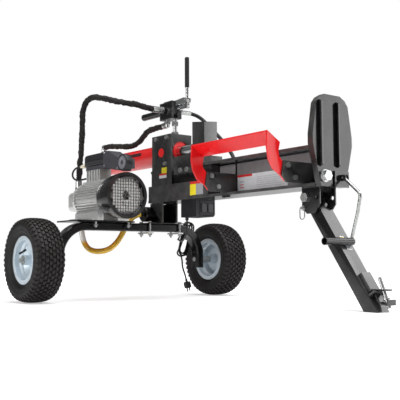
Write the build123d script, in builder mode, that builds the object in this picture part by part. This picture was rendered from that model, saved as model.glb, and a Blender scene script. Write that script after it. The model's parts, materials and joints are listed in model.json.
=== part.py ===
from build123d import *
import math
import os

os.makedirs("parts", exist_ok=True)

# ------------------------------------------------------------------
# Driving dimensions (mm). Local x runs from the wheel axle towards the
# anvil and is shifted by XA so that the whole box is centred on x = 0.
# ------------------------------------------------------------------
XA = -353.0          # wheel axle in the part frame
TYRE_R = 165.0       # 13x5.00-6 tyre
TYRE_W = 124.0
TRACK = 908.0        # between wheel centre planes
STUB_R = 10.0
AXLE_Z = 302.0       # centre of the bent axle tube
AXLE_BEND = 121.0
BEAM_Y = 147.0       # beam centre plane
BEAM_Z0, BEAM_Z1 = 408.0, 548.0
BEAM_X0, BEAM_X1 = -5.0, 987.0
BEAM_HW = 62.0
FLANGE_T, WEB_T = 11.0, 8.0
CYL_Z = 621.0        # cylinder axis height
CYL_OR, CYL_IR = 45.0, 38.0
ROD_R = 25.0
STROKE = 510.0
TOWER_X0, TOWER_X1 = 13.0, 155.0
TOWER_Y0, TOWER_Y1 = 92.5, 201.5
TOWER_Z1 = 697.0
MOT_Y, MOT_Z = -158.0, 418.0
PLATE_X0, PLATE_X1 = 987.0, 1011.0
LEG_PX, LEG_PZ = 921.0, 374.0
LEG_TILT = math.radians(34.6)
LEG_Y0, LEG_Y1 = 117.0, 177.0
LEG_HALF = 22.0
VALVE_Z0, VALVE_Z1 = 770.0, 846.0
SPOOL_Z = 812.0
LEVER_X, LEVER_Z = 197.0, 838.0
HOSE_R = 13.0        # sleeved pressure hose
RETURN_R = 8.0
SUCTION_R = 12.0
CABLE_R = 4.0
CORD_R = 3.6
RUN_FIT = 0.05       # running clearance on radius


def PX(x):
    """Plane across the machine at local x, sketch axes (y, z), normal +X."""
    return Plane(origin=(XA + x, 0, 0), x_dir=(0, 1, 0), z_dir=(1, 0, 0))


def PY(y):
    """Plane along the machine at y, sketch axes (x, z), normal -Y."""
    return Plane(origin=(XA, y, 0), x_dir=(1, 0, 0), z_dir=(0, -1, 0))


def PZ(z):
    """Level plane at height z, sketch axes (x, y), normal +Z."""
    return Plane(origin=(XA, 0, z))


def hexes(plane, pts, af, head, shank_r=0.0, shank=0.0):
    """Hexagon heads standing on a plane, each with a shank behind it."""
    with BuildSketch(plane) as hs:
        with Locations(*pts):
            RegularPolygon(af / 2, 6, major_radius=False)
    extrude(hs.sketch, amount=head)
    if shank:
        with BuildSketch(plane) as ss:
            with Locations(*pts):
                Circle(shank_r)
        extrude(ss.sketch, amount=-shank)


def drill(plane, pts, r, depth, both=False):
    """Plain round holes from a plane, depth along its normal."""
    with BuildSketch(plane) as ds:
        with Locations(*pts):
            Circle(r)
    extrude(ds.sketch, amount=depth, both=both, mode=Mode.SUBTRACT)


def rod(plane, pts, r, length):
    with BuildSketch(plane) as rs:
        with Locations(*pts):
            Circle(r)
    extrude(rs.sketch, amount=length)


def ferrule(p, d, r, length):
    """Round collar that starts at p and runs along d."""
    with BuildSketch(Plane(origin=(XA + p[0], p[1], p[2]), z_dir=d)) as fs:
        Circle(r)
    extrude(fs.sketch, amount=length)


def route(pts):
    """Route in the part frame with the largest arc each corner allows."""
    v = [Vector(XA + a, b, c) for a, b, c in pts]
    radii = []
    for i in range(1, len(v) - 1):
        a, b = v[i] - v[i - 1], v[i + 1] - v[i]
        half = math.radians(a.get_angle(b)) / 2
        radii.append(0.45 * min(a.length, b.length) / math.tan(half))
    return v, radii


def tube_check(name, part, line, r):
    length = sum(e.length for e in line.edges())
    print(f"{name}: length {length:.0f} volume ratio {part.volume / (math.pi * r * r * length):.4f}")


# ------------------------------------------------------------------
# Running gear
# ------------------------------------------------------------------
with BuildPart() as axle_frame:
    with BuildLine() as axle_line:
        FilletPolyline(
            (XA, -351, 127), (XA, -351, AXLE_Z), (XA, 351, AXLE_Z), (XA, 351, 127),
            radius=AXLE_BEND,
        )
    with BuildSketch(Plane(origin=(XA, -351, 127), x_dir=(1, 0, 0), z_dir=(0, 0, 1))):
        RectangleRounded(50, 34, 6)
        RectangleRounded(44, 28, 3, mode=Mode.SUBTRACT)
    sweep()
    drill(PY(0), [(0, TYRE_R)], STUB_R + RUN_FIT, 400, both=True)
    # lug behind the right-hand bend that the cord hank is strapped to
    with BuildSketch(PX(-25)):
        with Locations((318, 262)):
            Rectangle(20, 20)
    extrude(amount=-10)
axle_frame.part.label = "axle_frame"
export_step(axle_frame.part, "parts/axle_frame.step")

with BuildPart() as stub_axles:
    for s in (-1, 1):
        rod(PY(s * 331), [(0, TYRE_R)], STUB_R, -s * 179)
        with BuildSketch(PY(s * 368)):
            with Locations((0, TYRE_R)):
                Circle(15)
        extrude(amount=-s * 46)
    # cross holes for the split pins
    with BuildSketch(PZ(TYRE_R)):
        with Locations((0, -504), (0, 504)):
            Circle(2)
    extrude(amount=20, both=True, mode=Mode.SUBTRACT)
    for s in (-1, 1):
        # plain bushes at both ends of the hub, a washer and a split pin
        for c in (415.5, 478):
            with BuildSketch(PY(s * c)):
                with Locations((0, TYRE_R)):
                    Circle(14)
                    Circle(STUB_R + 0.02, mode=Mode.SUBTRACT)
            extrude(amount=-s * 18)
        with BuildSketch(PY(s * 497.5)):
            with Locations((0, TYRE_R)):
                Circle(17)
                Circle(STUB_R + 0.02, mode=Mode.SUBTRACT)
        extrude(amount=-s * 3)
    with BuildSketch(PZ(TYRE_R - 17)):
        with Locations((0, -504), (0, 504)):
            Circle(1.9)
    extrude(amount=34)
stub_axles.part.label = "stub_axles"
export_step(stub_axles.part, "parts/stub_axles.step")

RIM = [
    (94, 45), (94, 42), (80, 42), (78, 24), (70, 16), (70, -16), (78, -24), (80, -42), (94, -42),
    (94, -45), (77, -45), (75, -26), (67, -18), (67, 8), (50, -4), (20, -4), (20, -38),
    (14 + RUN_FIT, -38), (14 + RUN_FIT, 42), (20, 42), (20, 0), (50, 0), (67, 14), (67, 18),
    (75, 26), (77, 45),
]
with BuildPart() as left_rim:
    with BuildSketch(Plane(origin=(XA, -TRACK / 2, TYRE_R), x_dir=(1, 0, 0), z_dir=(0, 0, 1))):
        with BuildLine():
            Polyline([(r, -y) for r, y in RIM], close=True)
        make_face()
    revolve(axis=Axis((XA, 0, TYRE_R), (0, 1, 0)))
left_rim.part.label = "left_rim"
export_step(left_rim.part, "parts/left_rim.step")

with BuildPart() as right_rim:
    with BuildSketch(Plane(origin=(XA, TRACK / 2, TYRE_R), x_dir=(1, 0, 0), z_dir=(0, 0, 1))):
        with BuildLine():
            Polyline([(r, y) for r, y in RIM], close=True)
        make_face()
    revolve(axis=Axis((XA, 0, TYRE_R), (0, 1, 0)))
right_rim.part.label = "right_rim"
export_step(right_rim.part, "parts/right_rim.step")

TYRE_OUT = [(80.3, 41.7), (94.5, 41.7), (96.5, 47), (112, 58), (130, TYRE_W / 2), (148, 57), (159, 47), (163.5, 24), (TYRE_R, 0)]
TYRE_IN = [(80.3, 26), (96, 33), (118, 51), (138, 52), (150, 44), (153.5, 20), (154.5, 0)]


def tyre_profile():
    out = TYRE_OUT + [(r, -y) for r, y in reversed(TYRE_OUT[:-1])]
    inn = [(r, -y) for r, y in TYRE_IN] + [(r, y) for r, y in reversed(TYRE_IN[:-1])]
    return out + inn


with BuildPart() as left_tyre:
    with BuildSketch(Plane(origin=(XA, -TRACK / 2, TYRE_R), x_dir=(1, 0, 0), z_dir=(0, 0, 1))):
        with BuildLine():
            Polyline(tyre_profile(), close=True)
        make_face()
    revolve(axis=Axis((XA, 0, TYRE_R), (0, 1, 0)))
left_tyre.part.label = "left_tyre"
export_step(left_tyre.part, "parts/left_tyre.step")

with BuildPart() as right_tyre:
    with BuildSketch(Plane(origin=(XA, TRACK / 2, TYRE_R), x_dir=(1, 0, 0), z_dir=(0, 0, 1))):
        with BuildLine():
            Polyline(tyre_profile(), close=True)
        make_face()
    revolve(axis=Axis((XA, 0, TYRE_R), (0, 1, 0)))
right_tyre.part.label = "right_tyre"
export_step(right_tyre.part, "parts/right_tyre.step")

# ------------------------------------------------------------------
# Beam with the oil tank in its rear end, and the leg clevis
# ------------------------------------------------------------------
with BuildPart() as beam:
    with BuildSketch(PX(BEAM_X0)):
        with Locations((BEAM_Y, (BEAM_Z0 + BEAM_Z1) / 2)):
            Rectangle(WEB_T, BEAM_Z1 - BEAM_Z0)
        with Locations((BEAM_Y, BEAM_Z1 - FLANGE_T / 2), (BEAM_Y, BEAM_Z0 + FLANGE_T / 2)):
            Rectangle(2 * BEAM_HW, FLANGE_T)
    extrude(amount=BEAM_X1 - BEAM_X0)
    # top flange is trimmed at the rear so that the tower cheeks pass it
    with BuildSketch(PZ(BEAM_Z1 - FLANGE_T)):
        with Locations(((BEAM_X0 + 160) / 2, BEAM_Y - 55.25), ((BEAM_X0 + 160) / 2, BEAM_Y + 55.25)):
            Rectangle(160 - BEAM_X0, 13.5)
    extrude(amount=FLANGE_T, mode=Mode.SUBTRACT)
    # clevis plates of the stand leg, welded under the bottom flange
    for y in (112, 188):
        with BuildSketch(PY(y)):
            with BuildLine():
                Polyline((903, BEAM_Z0), (985, BEAM_Z0), (992 - 7, 350), (960, 318), (925, 318), (903, 340), close=True)
            make_face()
            with Locations((LEG_PX, LEG_PZ)):
                Circle(STUB_R + RUN_FIT, mode=Mode.SUBTRACT)
            with Locations((972, 372)):
                Circle(7, mode=Mode.SUBTRACT)
            with Locations((912.3, 338)):
                Circle(5 + RUN_FIT, mode=Mode.SUBTRACT)
        extrude(amount=6)
    # small tab under the bottom flange
    with BuildSketch(PY(96)):
        with Locations((515, 404)):
            Rectangle(44, 8)
    extrude(amount=5)
beam.part.label = "beam"
export_step(beam.part, "parts/beam.step")

with BuildPart() as tank_plates:
    for s in (-1, 1):
        with BuildSketch(PX(BEAM_X0)):
            with BuildLine():
                Polyline([(BEAM_Y + s * a, z) for a, z in (
                    (61, 419), (61, 480), (45, 480), (45, 537), (4, 537), (4, 419))], close=True)
            make_face()
        extrude(amount=417)
        with BuildSketch(PX(BEAM_X0 + 4)):
            with BuildLine():
                Polyline([(BEAM_Y + s * a, z) for a, z in (
                    (57, 423), (57, 476), (41, 476), (41, 533), (8, 533), (8, 423))], close=True)
            make_face()
        extrude(amount=409, mode=Mode.SUBTRACT)
tank_plates.part.label = "tank_plates"
export_step(tank_plates.part, "parts/tank_plates.step")

with BuildPart() as pedestal:
    with BuildSketch(PZ(319)):
        with Locations((5, BEAM_Y)):
            Rectangle(90, 180)
    extrude(amount=4)
    with BuildSketch(PZ(323)):
        with Locations((25.5, BEAM_Y)):
            Rectangle(93, 82)
        with Locations((31.5, BEAM_Y)):
            Rectangle(93, 70, mode=Mode.SUBTRACT)
    extrude(amount=85)
    drill(PZ(300), [(-34, 68), (34, 68), (-34, 226), (34, 226)], 4.2, 60)
pedestal.part.label = "pedestal"
export_step(pedestal.part, "parts/pedestal.step")

with BuildPart() as suction_filter:
    # canister hung on the pedestal wall, with its hose barb on the axis
    with BuildSketch(PY(104)):
        with Locations((-19, 361)):
            Circle(33)
    extrude(amount=38)
    fillet(suction_filter.edges().filter_by(GeomType.CIRCLE), 4)
    rod(PY(106), [(-12, 361)], 9, 2)
    rod(PY(66), [(-19, 361)], 9, 14)
suction_filter.part.label = "suction_filter"
export_step(suction_filter.part, "parts/suction_filter.step")

with BuildPart() as motor_plate:
    with BuildSketch(PZ(319)):
        with Locations((-24, -163.5)):
            Rectangle(172, 281)
    extrude(amount=6)
    fillet(motor_plate.edges().filter_by(Axis.Z), 10)
    drill(PZ(300), [(45, -205), (45, -48), (-45, -205), (-45, -48)], 5.2, 60)
motor_plate.part.label = "motor_plate"
export_step(motor_plate.part, "parts/motor_plate.step")

with BuildPart() as tower:
    with BuildSketch(PZ(BEAM_Z1)):
        with Locations(((TOWER_X0 + TOWER_X1) / 2, BEAM_Y)):
            Rectangle(TOWER_X1 - TOWER_X0, TOWER_Y1 - TOWER_Y0)
            Rectangle(TOWER_X1 - TOWER_X0 - 12, TOWER_Y1 - TOWER_Y0 - 12, mode=Mode.SUBTRACT)
    extrude(amount=TOWER_Z1 - BEAM_Z1)
    with BuildSketch(PZ(TOWER_Z1 - 6)):
        with Locations(((TOWER_X0 + TOWER_X1) / 2, BEAM_Y)):
            Rectangle(TOWER_X1 - TOWER_X0, TOWER_Y1 - TOWER_Y0)
        with Locations((109, BEAM_Y)):
            Circle(16, mode=Mode.SUBTRACT)
    extrude(amount=6)
    # cheeks reach down past the trimmed flange to the tank ledge
    for y in (TOWER_Y0 + 6, TOWER_Y1):
        with BuildSketch(PY(y)):
            with Locations(((TOWER_X0 + TOWER_X1) / 2, (480.5 + BEAM_Z1) / 2)):
                Rectangle(TOWER_X1 - TOWER_X0, BEAM_Z1 - 480.5)
        extrude(amount=6)
    drill(PX(0), [(BEAM_Y, CYL_Z)], CYL_OR + 0.3, 170)
    drill(PY(0), [(84, CYL_Z)], 19.1, -300)
    drill(PY(0), [(45, 683), (125, 683), (112, 572)], 5.2, -300)
tower.part.label = "tower"
export_step(tower.part, "parts/tower.step")

# ------------------------------------------------------------------
# Hydraulic cylinder
# ------------------------------------------------------------------
with BuildPart() as cylinder_barrel:
    rod(PX(-512), [(BEAM_Y, CYL_Z)], CYL_OR, 662)
    rod(PZ(CYL_Z + 30), [(-490, BEAM_Y)], 15, 31)
    rod(PZ(CYL_Z + 30), [(109, BEAM_Y)], 13, 26)
    drill(PX(-513), [(BEAM_Y, CYL_Z)], CYL_IR, 664)
    drill(PZ(CYL_Z), [(-490, BEAM_Y), (109, BEAM_Y)], 6, 80)
cylinder_barrel.part.label = "cylinder_barrel"
export_step(cylinder_barrel.part, "parts/cylinder_barrel.step")

with BuildPart() as trunnion_pins:
    for s in (-1, 1):
        rod(PY(BEAM_Y + s * 57), [(84, CYL_Z)], 19, s * 30)
    drill(PX(0), [(BEAM_Y, CYL_Z)], CYL_OR + 0.02, 200)
trunnion_pins.part.label = "trunnion_pins"
export_step(trunnion_pins.part, "parts/trunnion_pins.step")

with BuildPart() as cylinder_heads:
    # welded rear cap and screwed front gland
    rod(PX(-530), [(BEAM_Y, CYL_Z)], CYL_OR, 18)
    rod(PX(-512), [(BEAM_Y, CYL_Z)], CYL_IR - 0.1, 8)
    with BuildSketch(PX(122)):
        with Locations((BEAM_Y, CYL_Z)):
            Circle(CYL_IR - 0.1)
            Circle(ROD_R + RUN_FIT, mode=Mode.SUBTRACT)
    extrude(amount=32)
cylinder_heads.part.label = "cylinder_heads"
export_step(cylinder_heads.part, "parts/cylinder_heads.step")

with BuildPart() as piston:
    with BuildSketch(PX(-470)):
        with Locations((BEAM_Y, CYL_Z)):
            Circle(CYL_IR - RUN_FIT)
            Circle(15.02, mode=Mode.SUBTRACT)
    extrude(amount=40)
piston.part.label = "piston"
export_step(piston.part, "parts/piston.step")

with BuildPart() as piston_rod:
    rod(PX(-490), [(BEAM_Y, CYL_Z)], 15, 70)
    rod(PX(-430), [(BEAM_Y, CYL_Z)], ROD_R, 688)
piston_rod.part.label = "piston_rod"
export_step(piston_rod.part, "parts/piston_rod.step")

# ------------------------------------------------------------------
# Slider and wedge
# ------------------------------------------------------------------
SY = BEAM_Y
with BuildPart() as slider:
    with BuildSketch(PX(207)):
        with BuildLine():
            Polyline(
                (SY - 77, 588), (SY + 77, 588), (SY + 77, 514), (SY + 49, 514), (SY + 49, 536.5),
                (SY + 62.5, 536.5), (SY + 62.5, 548.5), (SY - 62.5, 548.5), (SY - 62.5, 536.5),
                (SY - 49, 536.5), (SY - 49, 514), (SY - 77, 514), close=True,
            )
        make_face()
    extrude(amount=128)
    drill(PY(0), [(255, 528), (300, 528)], 6.1, -300)
slider.part.label = "slider"
export_step(slider.part, "parts/slider.step")

with BuildPart() as slider_bolts:
    hexes(PY(SY - 77), [(255, 528), (300, 528)], 19, 8, 6, 26)
    for s in (0, 1):
        with BuildSketch(PY(SY + 77 + 8)):
            with Locations((255 + 45 * s, 528)):
                RegularPolygon(9.5, 6, major_radius=False)
        extrude(amount=8)
        rod(PY(SY + 77), [(255 + 45 * s, 528)], 6, 26)
    # piston nut
    with BuildSketch(PX(-486)):
        with Locations((SY, CYL_Z)):
            RegularPolygon(22, 6, major_radius=False)
            Circle(15.02, mode=Mode.SUBTRACT)
    extrude(amount=16)
slider_bolts.part.label = "slider_bolts"
export_step(slider_bolts.part, "parts/slider_bolts.step")

with BuildPart() as wedge:
    with BuildSketch(PZ(588)):
        with BuildLine():
            Polyline((258, SY - 20), (338, SY - 20), (397, SY), (338, SY + 20), (258, SY + 20), close=True)
        make_face()
    extrude(amount=150)
    with BuildSketch(PY(0)):
        with BuildLine():
            Polyline((250, 735), (400, 716), (400, 760), (250, 760), close=True)
        make_face()
    extrude(amount=-400, mode=Mode.SUBTRACT)
wedge.part.label = "wedge"
export_step(wedge.part, "parts/wedge.step")

# ------------------------------------------------------------------
# Anvil end
# ------------------------------------------------------------------
ANVIL = [(38, 716), (63, 703), (78, 684), (96, 579), (96, 546), (80, 482), (59, 405)]
with BuildPart() as end_plate:
    with BuildSketch(PX(PLATE_X0)):
        with BuildLine():
            Polyline([(SY + a, z) for a, z in ANVIL] + [(SY - a, z) for a, z in reversed(ANVIL)], close=True)
        make_face()
    extrude(amount=PLATE_X1 - PLATE_X0)
    # two upright ribs on the outer face, tapering at both ends
    for y in (84, 167):
        with BuildSketch(PY(y + 4)):
            with BuildLine():
                Polyline((PLATE_X1, 470), (PLATE_X1, 694), (PLATE_X1 + 13, 688), (PLATE_X1 + 13, 478), close=True)
            make_face()
        extrude(amount=8)
    # stay block with two ears for the stay handle, and the lower foot
    with BuildSketch(PX(PLATE_X1)):
        with Locations((183, 432)):
            Rectangle(70, 54)
    extrude(amount=6)
    for y in (179, 194):
        with BuildSketch(PY(y)):
            with Locations((1023, 437)):
                SlotOverall(30, 20)
                with Locations((2, 0)):
                    Circle(3.1, mode=Mode.SUBTRACT)
        extrude(amount=3)
    drill(PX(PLATE_X0 - 1), [(104, 440)], 10.1, 60)
end_plate.part.label = "end_plate"
export_step(end_plate.part, "parts/end_plate.step")

with BuildPart() as stay_handle:
    with BuildLine() as stay_line:
        FilletPolyline(
            (XA + 1030, 185, 432), (XA + 1093, 185, 378), (XA + 1080, 185, 319), (XA + 1052, 185, 232),
            radius=[22, 60],
        )
    with BuildSketch(Plane(origin=stay_line.line @ 0, z_dir=stay_line.line % 0)):
        Circle(5.4)
    sweep()
    rod(PY(190.6), [(1025, 437)], 7.4, 11.2)
    drill(PY(200), [(1025, 437)], 3 + RUN_FIT, 30)
stay_handle.part.label = "stay_handle"
export_step(stay_handle.part, "parts/stay_handle.step")

# ------------------------------------------------------------------
# Log cradle and its brackets
# ------------------------------------------------------------------
HOOK = [(-70, 588), (-13, 553), (-21, 521), (-18, 506), (-5, 492), (60, 492), (60, 425), (5, 425), (-13, 443), (-47, 462), (-66, 494), (-73, 534)]
CRADLE_BOLTS = [(15, 478), (48, 438)]
with BuildPart() as cradle_brackets:
    for x in (516, 923):
        with BuildSketch(PX(x)):
            with BuildLine():
                Polyline((143, 419), (143, 492), (-4, 492), (-12, 443), (10, 419), close=True)
            make_face()
        extrude(amount=6)
    drill(PX(500), CRADLE_BOLTS, 5.1, 460)
cradle_brackets.part.label = "cradle_brackets"
export_step(cradle_brackets.part, "parts/cradle_brackets.step")

with BuildPart() as log_cradle:
    for x in (510, 917):
        with BuildSketch(PX(x)):
            with BuildLine():
                Polyline(HOOK, close=True)
            make_face()
        extrude(amount=6)
    with BuildSketch(PX(516)):
        with BuildLine():
            Polyline((-70, 588), (-13, 553), (-15.6, 548.7), (-71.5, 583), close=True)
        make_face()
    extrude(amount=401)
    drill(PX(500), CRADLE_BOLTS, 5.1, 460)
log_cradle.part.label = "log_cradle"
export_step(log_cradle.part, "parts/log_cradle.step")

# ------------------------------------------------------------------
# Stand leg with the towing hitch on its foot
# ------------------------------------------------------------------
TX, TZ = math.sin(LEG_TILT), -math.cos(LEG_TILT)      # down the leg
NX, NZ = math.cos(LEG_TILT), math.sin(LEG_TILT)       # out of its front face
SLOPE = TX / -TZ


def leg_line(off, z):
    """x of the line at distance off from the leg's centre line, at height z."""
    return LEG_PX + off * NX + (LEG_PZ + off * NZ - z) * SLOPE


with BuildPart() as stand_leg:
    with BuildSketch(PY(LEG_Y1)):
        with BuildLine():
            Polyline(
                (LEG_PX - LEG_HALF * NX, LEG_PZ - LEG_HALF * NZ), (leg_line(-LEG_HALF, 0), 0),
                (leg_line(LEG_HALF, 0), 0), (LEG_PX + LEG_HALF * NX, LEG_PZ + LEG_HALF * NZ), close=True,
            )
        make_face()
        with Locations((LEG_PX, LEG_PZ)):
            Circle(LEG_HALF)
    extrude(amount=LEG_Y1 - LEG_Y0)
    # hollow section, wall 3, closed at the foot
    with BuildSketch(PY(LEG_Y1 - 3)):
        with BuildLine():
            Polyline(
                (leg_line(-LEG_HALF + 3, 335), 335), (leg_line(-LEG_HALF + 3, 4), 4),
                (leg_line(LEG_HALF - 3, 4), 4), (leg_line(LEG_HALF - 3, 335), 335), close=True,
            )
        make_face()
    extrude(amount=LEG_Y1 - LEG_Y0 - 6, mode=Mode.SUBTRACT)
    drill(PY(0), [(LEG_PX, LEG_PZ)], STUB_R + RUN_FIT, -300)
    # open cross tube on the front face, used as a hand grip
    GX, GZ = leg_line(LEG_HALF + 12, 222), 222
    with BuildSketch(PY(170)):
        with Locations((GX, GZ)):
            Circle(12.5)
    extrude(amount=134)
    with BuildSketch(PY(171)):
        with Locations((GX, GZ)):
            Circle(10)
    extrude(amount=136, mode=Mode.SUBTRACT)
stand_leg.part.label = "stand_leg"
export_step(stand_leg.part, "parts/stand_leg.step")

PIN_TOP = (1192, 108)
PIN_LOW = (1228.7, 13)
PIN_D = (PIN_LOW[0] - PIN_TOP[0], 0, PIN_LOW[1] - PIN_TOP[1])
PIN_PLANE = Plane(origin=(XA + PIN_TOP[0], BEAM_Y, PIN_TOP[1]), z_dir=PIN_D)
with BuildPart() as hitch_bracket:
    # raised bar on the leg's front face
    with BuildSketch(PY(172)):
        with BuildLine():
            Polyline(
                (leg_line(22, 116), 116), (leg_line(22, 60), 60),
                (leg_line(22, 60) + 13 * NX, 60 + 13 * NZ), (leg_line(22, 116) + 13 * NX, 116 + 13 * NZ), close=True,
            )
        make_face()
    extrude(amount=44)
    # level tongue, hook plate and the lower cross plate
    with BuildSketch(PY(170)):
        with BuildLine():
            Polyline((leg_line(22, 66) + 2, 66), (1224, 66), (1224, 71), (leg_line(22, 71) + 2, 71), close=True)
        make_face()
        with BuildLine():
            Polyline(
                (1180, 67), (1194, 37), (1210, 24), (1236, 22), (1236, 40), (1231, 40), (1231, 28),
                (1212, 29), (1198.5, 40), (1186, 67), close=True,
            )
        make_face()
    extrude(amount=40)
    with BuildSketch(PY(174)):
        with BuildLine():
            Polyline(
                (leg_line(22, 48), 48), (leg_line(22, 48) + 30 * NX, 48 + 30 * NZ),
                (leg_line(22, 54) + 28 * NX, 54 + 28 * NZ), (leg_line(22, 54), 54), close=True,
            )
        make_face()
    extrude(amount=54)
    with BuildSketch(PIN_PLANE):
        Circle(6.1)
    extrude(amount=120, mode=Mode.SUBTRACT)
hitch_bracket.part.label = "hitch_bracket"
export_step(hitch_bracket.part, "parts/hitch_bracket.step")

with BuildPart() as hitch_pin:
    with BuildSketch(PIN_PLANE):
        Circle(6.05)
    extrude(amount=101)
    with BuildSketch(PIN_PLANE.offset(70)):
        Circle(11)
    extrude(amount=4)
    chamfer(hitch_pin.faces().sort_by(Axis.Z)[-1].edges(), 1.5)
hitch_pin.part.label = "hitch_pin"
export_step(hitch_pin.part, "parts/hitch_pin.step")

with BuildPart() as lock_pin:
    # through pin with a collar and a wire ring hanging from its end
    rod(PY(197), [(912.3, 338)], 5, 103)
    rod(PY(105.8), [(912.3, 338)], 9, 4)
    with BuildSketch(PY(98.5)):
        with Locations((912.3, 321)):
            SlotOverall(46, 24, rotation=90)
            SlotOverall(41, 19, rotation=90, mode=Mode.SUBTRACT)
    extrude(amount=2.5)
lock_pin.part.label = "lock_pin"
export_step(lock_pin.part, "parts/lock_pin.step")

with BuildPart() as pivot_pins:
    # leg pivot bolt with its nut, stay handle pin, lever pin
    hexes(PY(106), [(LEG_PX, LEG_PZ)], 30, 11, STUB_R, 96)
    with BuildSketch(PY(200)):
        with Locations((LEG_PX, LEG_PZ)):
            RegularPolygon(15, 6, major_radius=False)
            Circle(STUB_R, mode=Mode.SUBTRACT)
    extrude(amount=12)
    rod(PY(197), [(1025, 437)], 3, 24)
    rod(PY(163), [(LEVER_X, LEVER_Z)], 4, 32)
pivot_pins.part.label = "pivot_pins"
export_step(pivot_pins.part, "parts/pivot_pins.step")

with BuildPart() as frame_bolts:
    # motor plate to axle, pedestal to axle, tower, cradle and valve bolts
    rod(PZ(297), [(45, -205), (45, -48), (-45, -205), (-45, -48)], 5, 28)
    with BuildSketch(PZ(302)):
        with Locations((45, -205), (45, -48), (-45, -205), (-45, -48)):
            RegularPolygon(8.5, 6, major_radius=False)
    extrude(amount=8)
    rod(PZ(262), [(-34, 68), (34, 68), (-34, 226), (34, 226)], 4, 66)
    for z, h in ((269, 7), (323, 6)):
        with BuildSketch(PZ(z)):
            with Locations((-34, 68), (34, 68), (-34, 226), (34, 226)):
                RegularPolygon(7, 6, major_radius=False)
        extrude(amount=h)
    with BuildSketch(PZ(276)):
        with Locations((0, 68), (0, 226)):
            Rectangle(84, 26)
    extrude(amount=6)
    hexes(PY(TOWER_Y0), [(45, 683), (125, 683), (112, 572)], 16, 7, 5, 9)
    hexes(PX(522), CRADLE_BOLTS, 17, 7, 5, 14)
    hexes(PX(929), CRADLE_BOLTS, 17, 7, 5, 14)
    for x in (510, 917):
        with BuildSketch(PX(x - 6)):
            with Locations(*CRADLE_BOLTS):
                RegularPolygon(8.5, 6, major_radius=False)
        extrude(amount=6)
    # anvil bolt on its round spacer
    with BuildSketch(PX(PLATE_X1)):
        with Locations((104, 440)):
            Circle(21)
    extrude(amount=5)
    hexes(PX(PLATE_X1 + 5), [(104, 440)], 32, 14, 10, 29)
frame_bolts.part.label = "frame_bolts"
export_step(frame_bolts.part, "parts/frame_bolts.step")

# ------------------------------------------------------------------
# Switch box under the beam
# ------------------------------------------------------------------
with BuildPart() as switch_box:
    with BuildSketch(PZ(337)):
        with Locations((269, BEAM_Y)):
            Rectangle(102, 98)
    extrude(amount=71)
    fillet(switch_box.edges().filter_by(Axis.X).group_by(Axis.Z)[0].sort_by(Axis.Y)[-1], 14)
    with BuildSketch(PZ(341)):
        with Locations((267, BEAM_Y)):
            Rectangle(90, 86)
    extrude(amount=62, mode=Mode.SUBTRACT)
    # raised rim and the two button wells on the front
    with BuildSketch(PX(320)):
        with Locations((BEAM_Y + 8, 373)):
            Rectangle(76, 60)
            Rectangle(70, 54, mode=Mode.SUBTRACT)
    extrude(amount=2)
    with BuildSketch(PX(300)):
        with Locations((BEAM_Y - 10, 373), (BEAM_Y + 24, 373)):
            RectangleRounded(26, 34, 4)
    extrude(amount=40, mode=Mode.SUBTRACT)
    # cord gland
    rod(PZ(325), [(232, 118)], 7, 12)
switch_box.part.label = "switch_box"
export_step(switch_box.part, "parts/switch_box.step")

with BuildPart() as start_button:
    with BuildSketch(PX(312)):
        with Locations((BEAM_Y + 24, 373)):
            RectangleRounded(25.4, 33.4, 3.8)
    extrude(amount=12)
    fillet(start_button.faces().sort_by(Axis.X)[-1].edges(), 1.5)
start_button.part.label = "start_button"
export_step(start_button.part, "parts/start_button.step")

with BuildPart() as stop_button:
    with BuildSketch(PX(312)):
        with Locations((BEAM_Y - 10, 373)):
            RectangleRounded(25.4, 33.4, 3.8)
    extrude(amount=14)
    fillet(stop_button.faces().sort_by(Axis.X)[-1].edges(), 1.5)
stop_button.part.label = "stop_button"
export_step(stop_button.part, "parts/stop_button.step")

# ------------------------------------------------------------------
# Electric motor
# ------------------------------------------------------------------
FINS = 36
with BuildPart() as motor_body:
    with BuildSketch(PX(-105)):
        with Locations((MOT_Y, MOT_Z)):
            Circle(60)
            with PolarLocations(66, FINS):
                Rectangle(13, 3.2)
        with Locations((MOT_Y, MOT_Z + 66)):
            Rectangle(48, 16)
        # feet
        for s in (-1, 1):
            with BuildLine():
                Polyline([(MOT_Y + s * a, z) for a, z in ((44, 378), (60, 356), (60, 333), (88, 333), (88, 325), (34, 325), (34, 362))], close=True)
            make_face()
        with Locations((MOT_Y, MOT_Z)):
            Circle(52, mode=Mode.SUBTRACT)
    extrude(amount=190)
    # finned neck under the terminal box, with the gland of the motor leads
    with BuildSketch(PZ(491)):
        with Locations((-9, -161)):
            Rectangle(110, 54)
        with Locations((-53, -184), (-31, -184), (-9, -184), (13, -184), (35, -184)):
            Rectangle(10, 20, mode=Mode.SUBTRACT)
    extrude(amount=46)
    rod(PX(-78), [(-176, 508)], 6, 16)
motor_body.part.label = "motor_body"
export_step(motor_body.part, "parts/motor_body.step")

with BuildPart() as motor_shields:
    for x, h in ((-122, 17), (85, 12)):
        with BuildSketch(PX(x)):
            with Locations((MOT_Y, MOT_Z)):
                Circle(68)
                Circle(20, mode=Mode.SUBTRACT)
        extrude(amount=h)
motor_shields.part.label = "motor_shields"
export_step(motor_shields.part, "parts/motor_shields.step")

with BuildPart() as motor_bearings:
    for x in (-121, 85):
        with BuildSketch(PX(x)):
            with Locations((MOT_Y, MOT_Z)):
                Circle(19.98)
                Circle(10 + RUN_FIT, mode=Mode.SUBTRACT)
        extrude(amount=12)
motor_bearings.part.label = "motor_bearings"
export_step(motor_bearings.part, "parts/motor_bearings.step")

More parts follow.
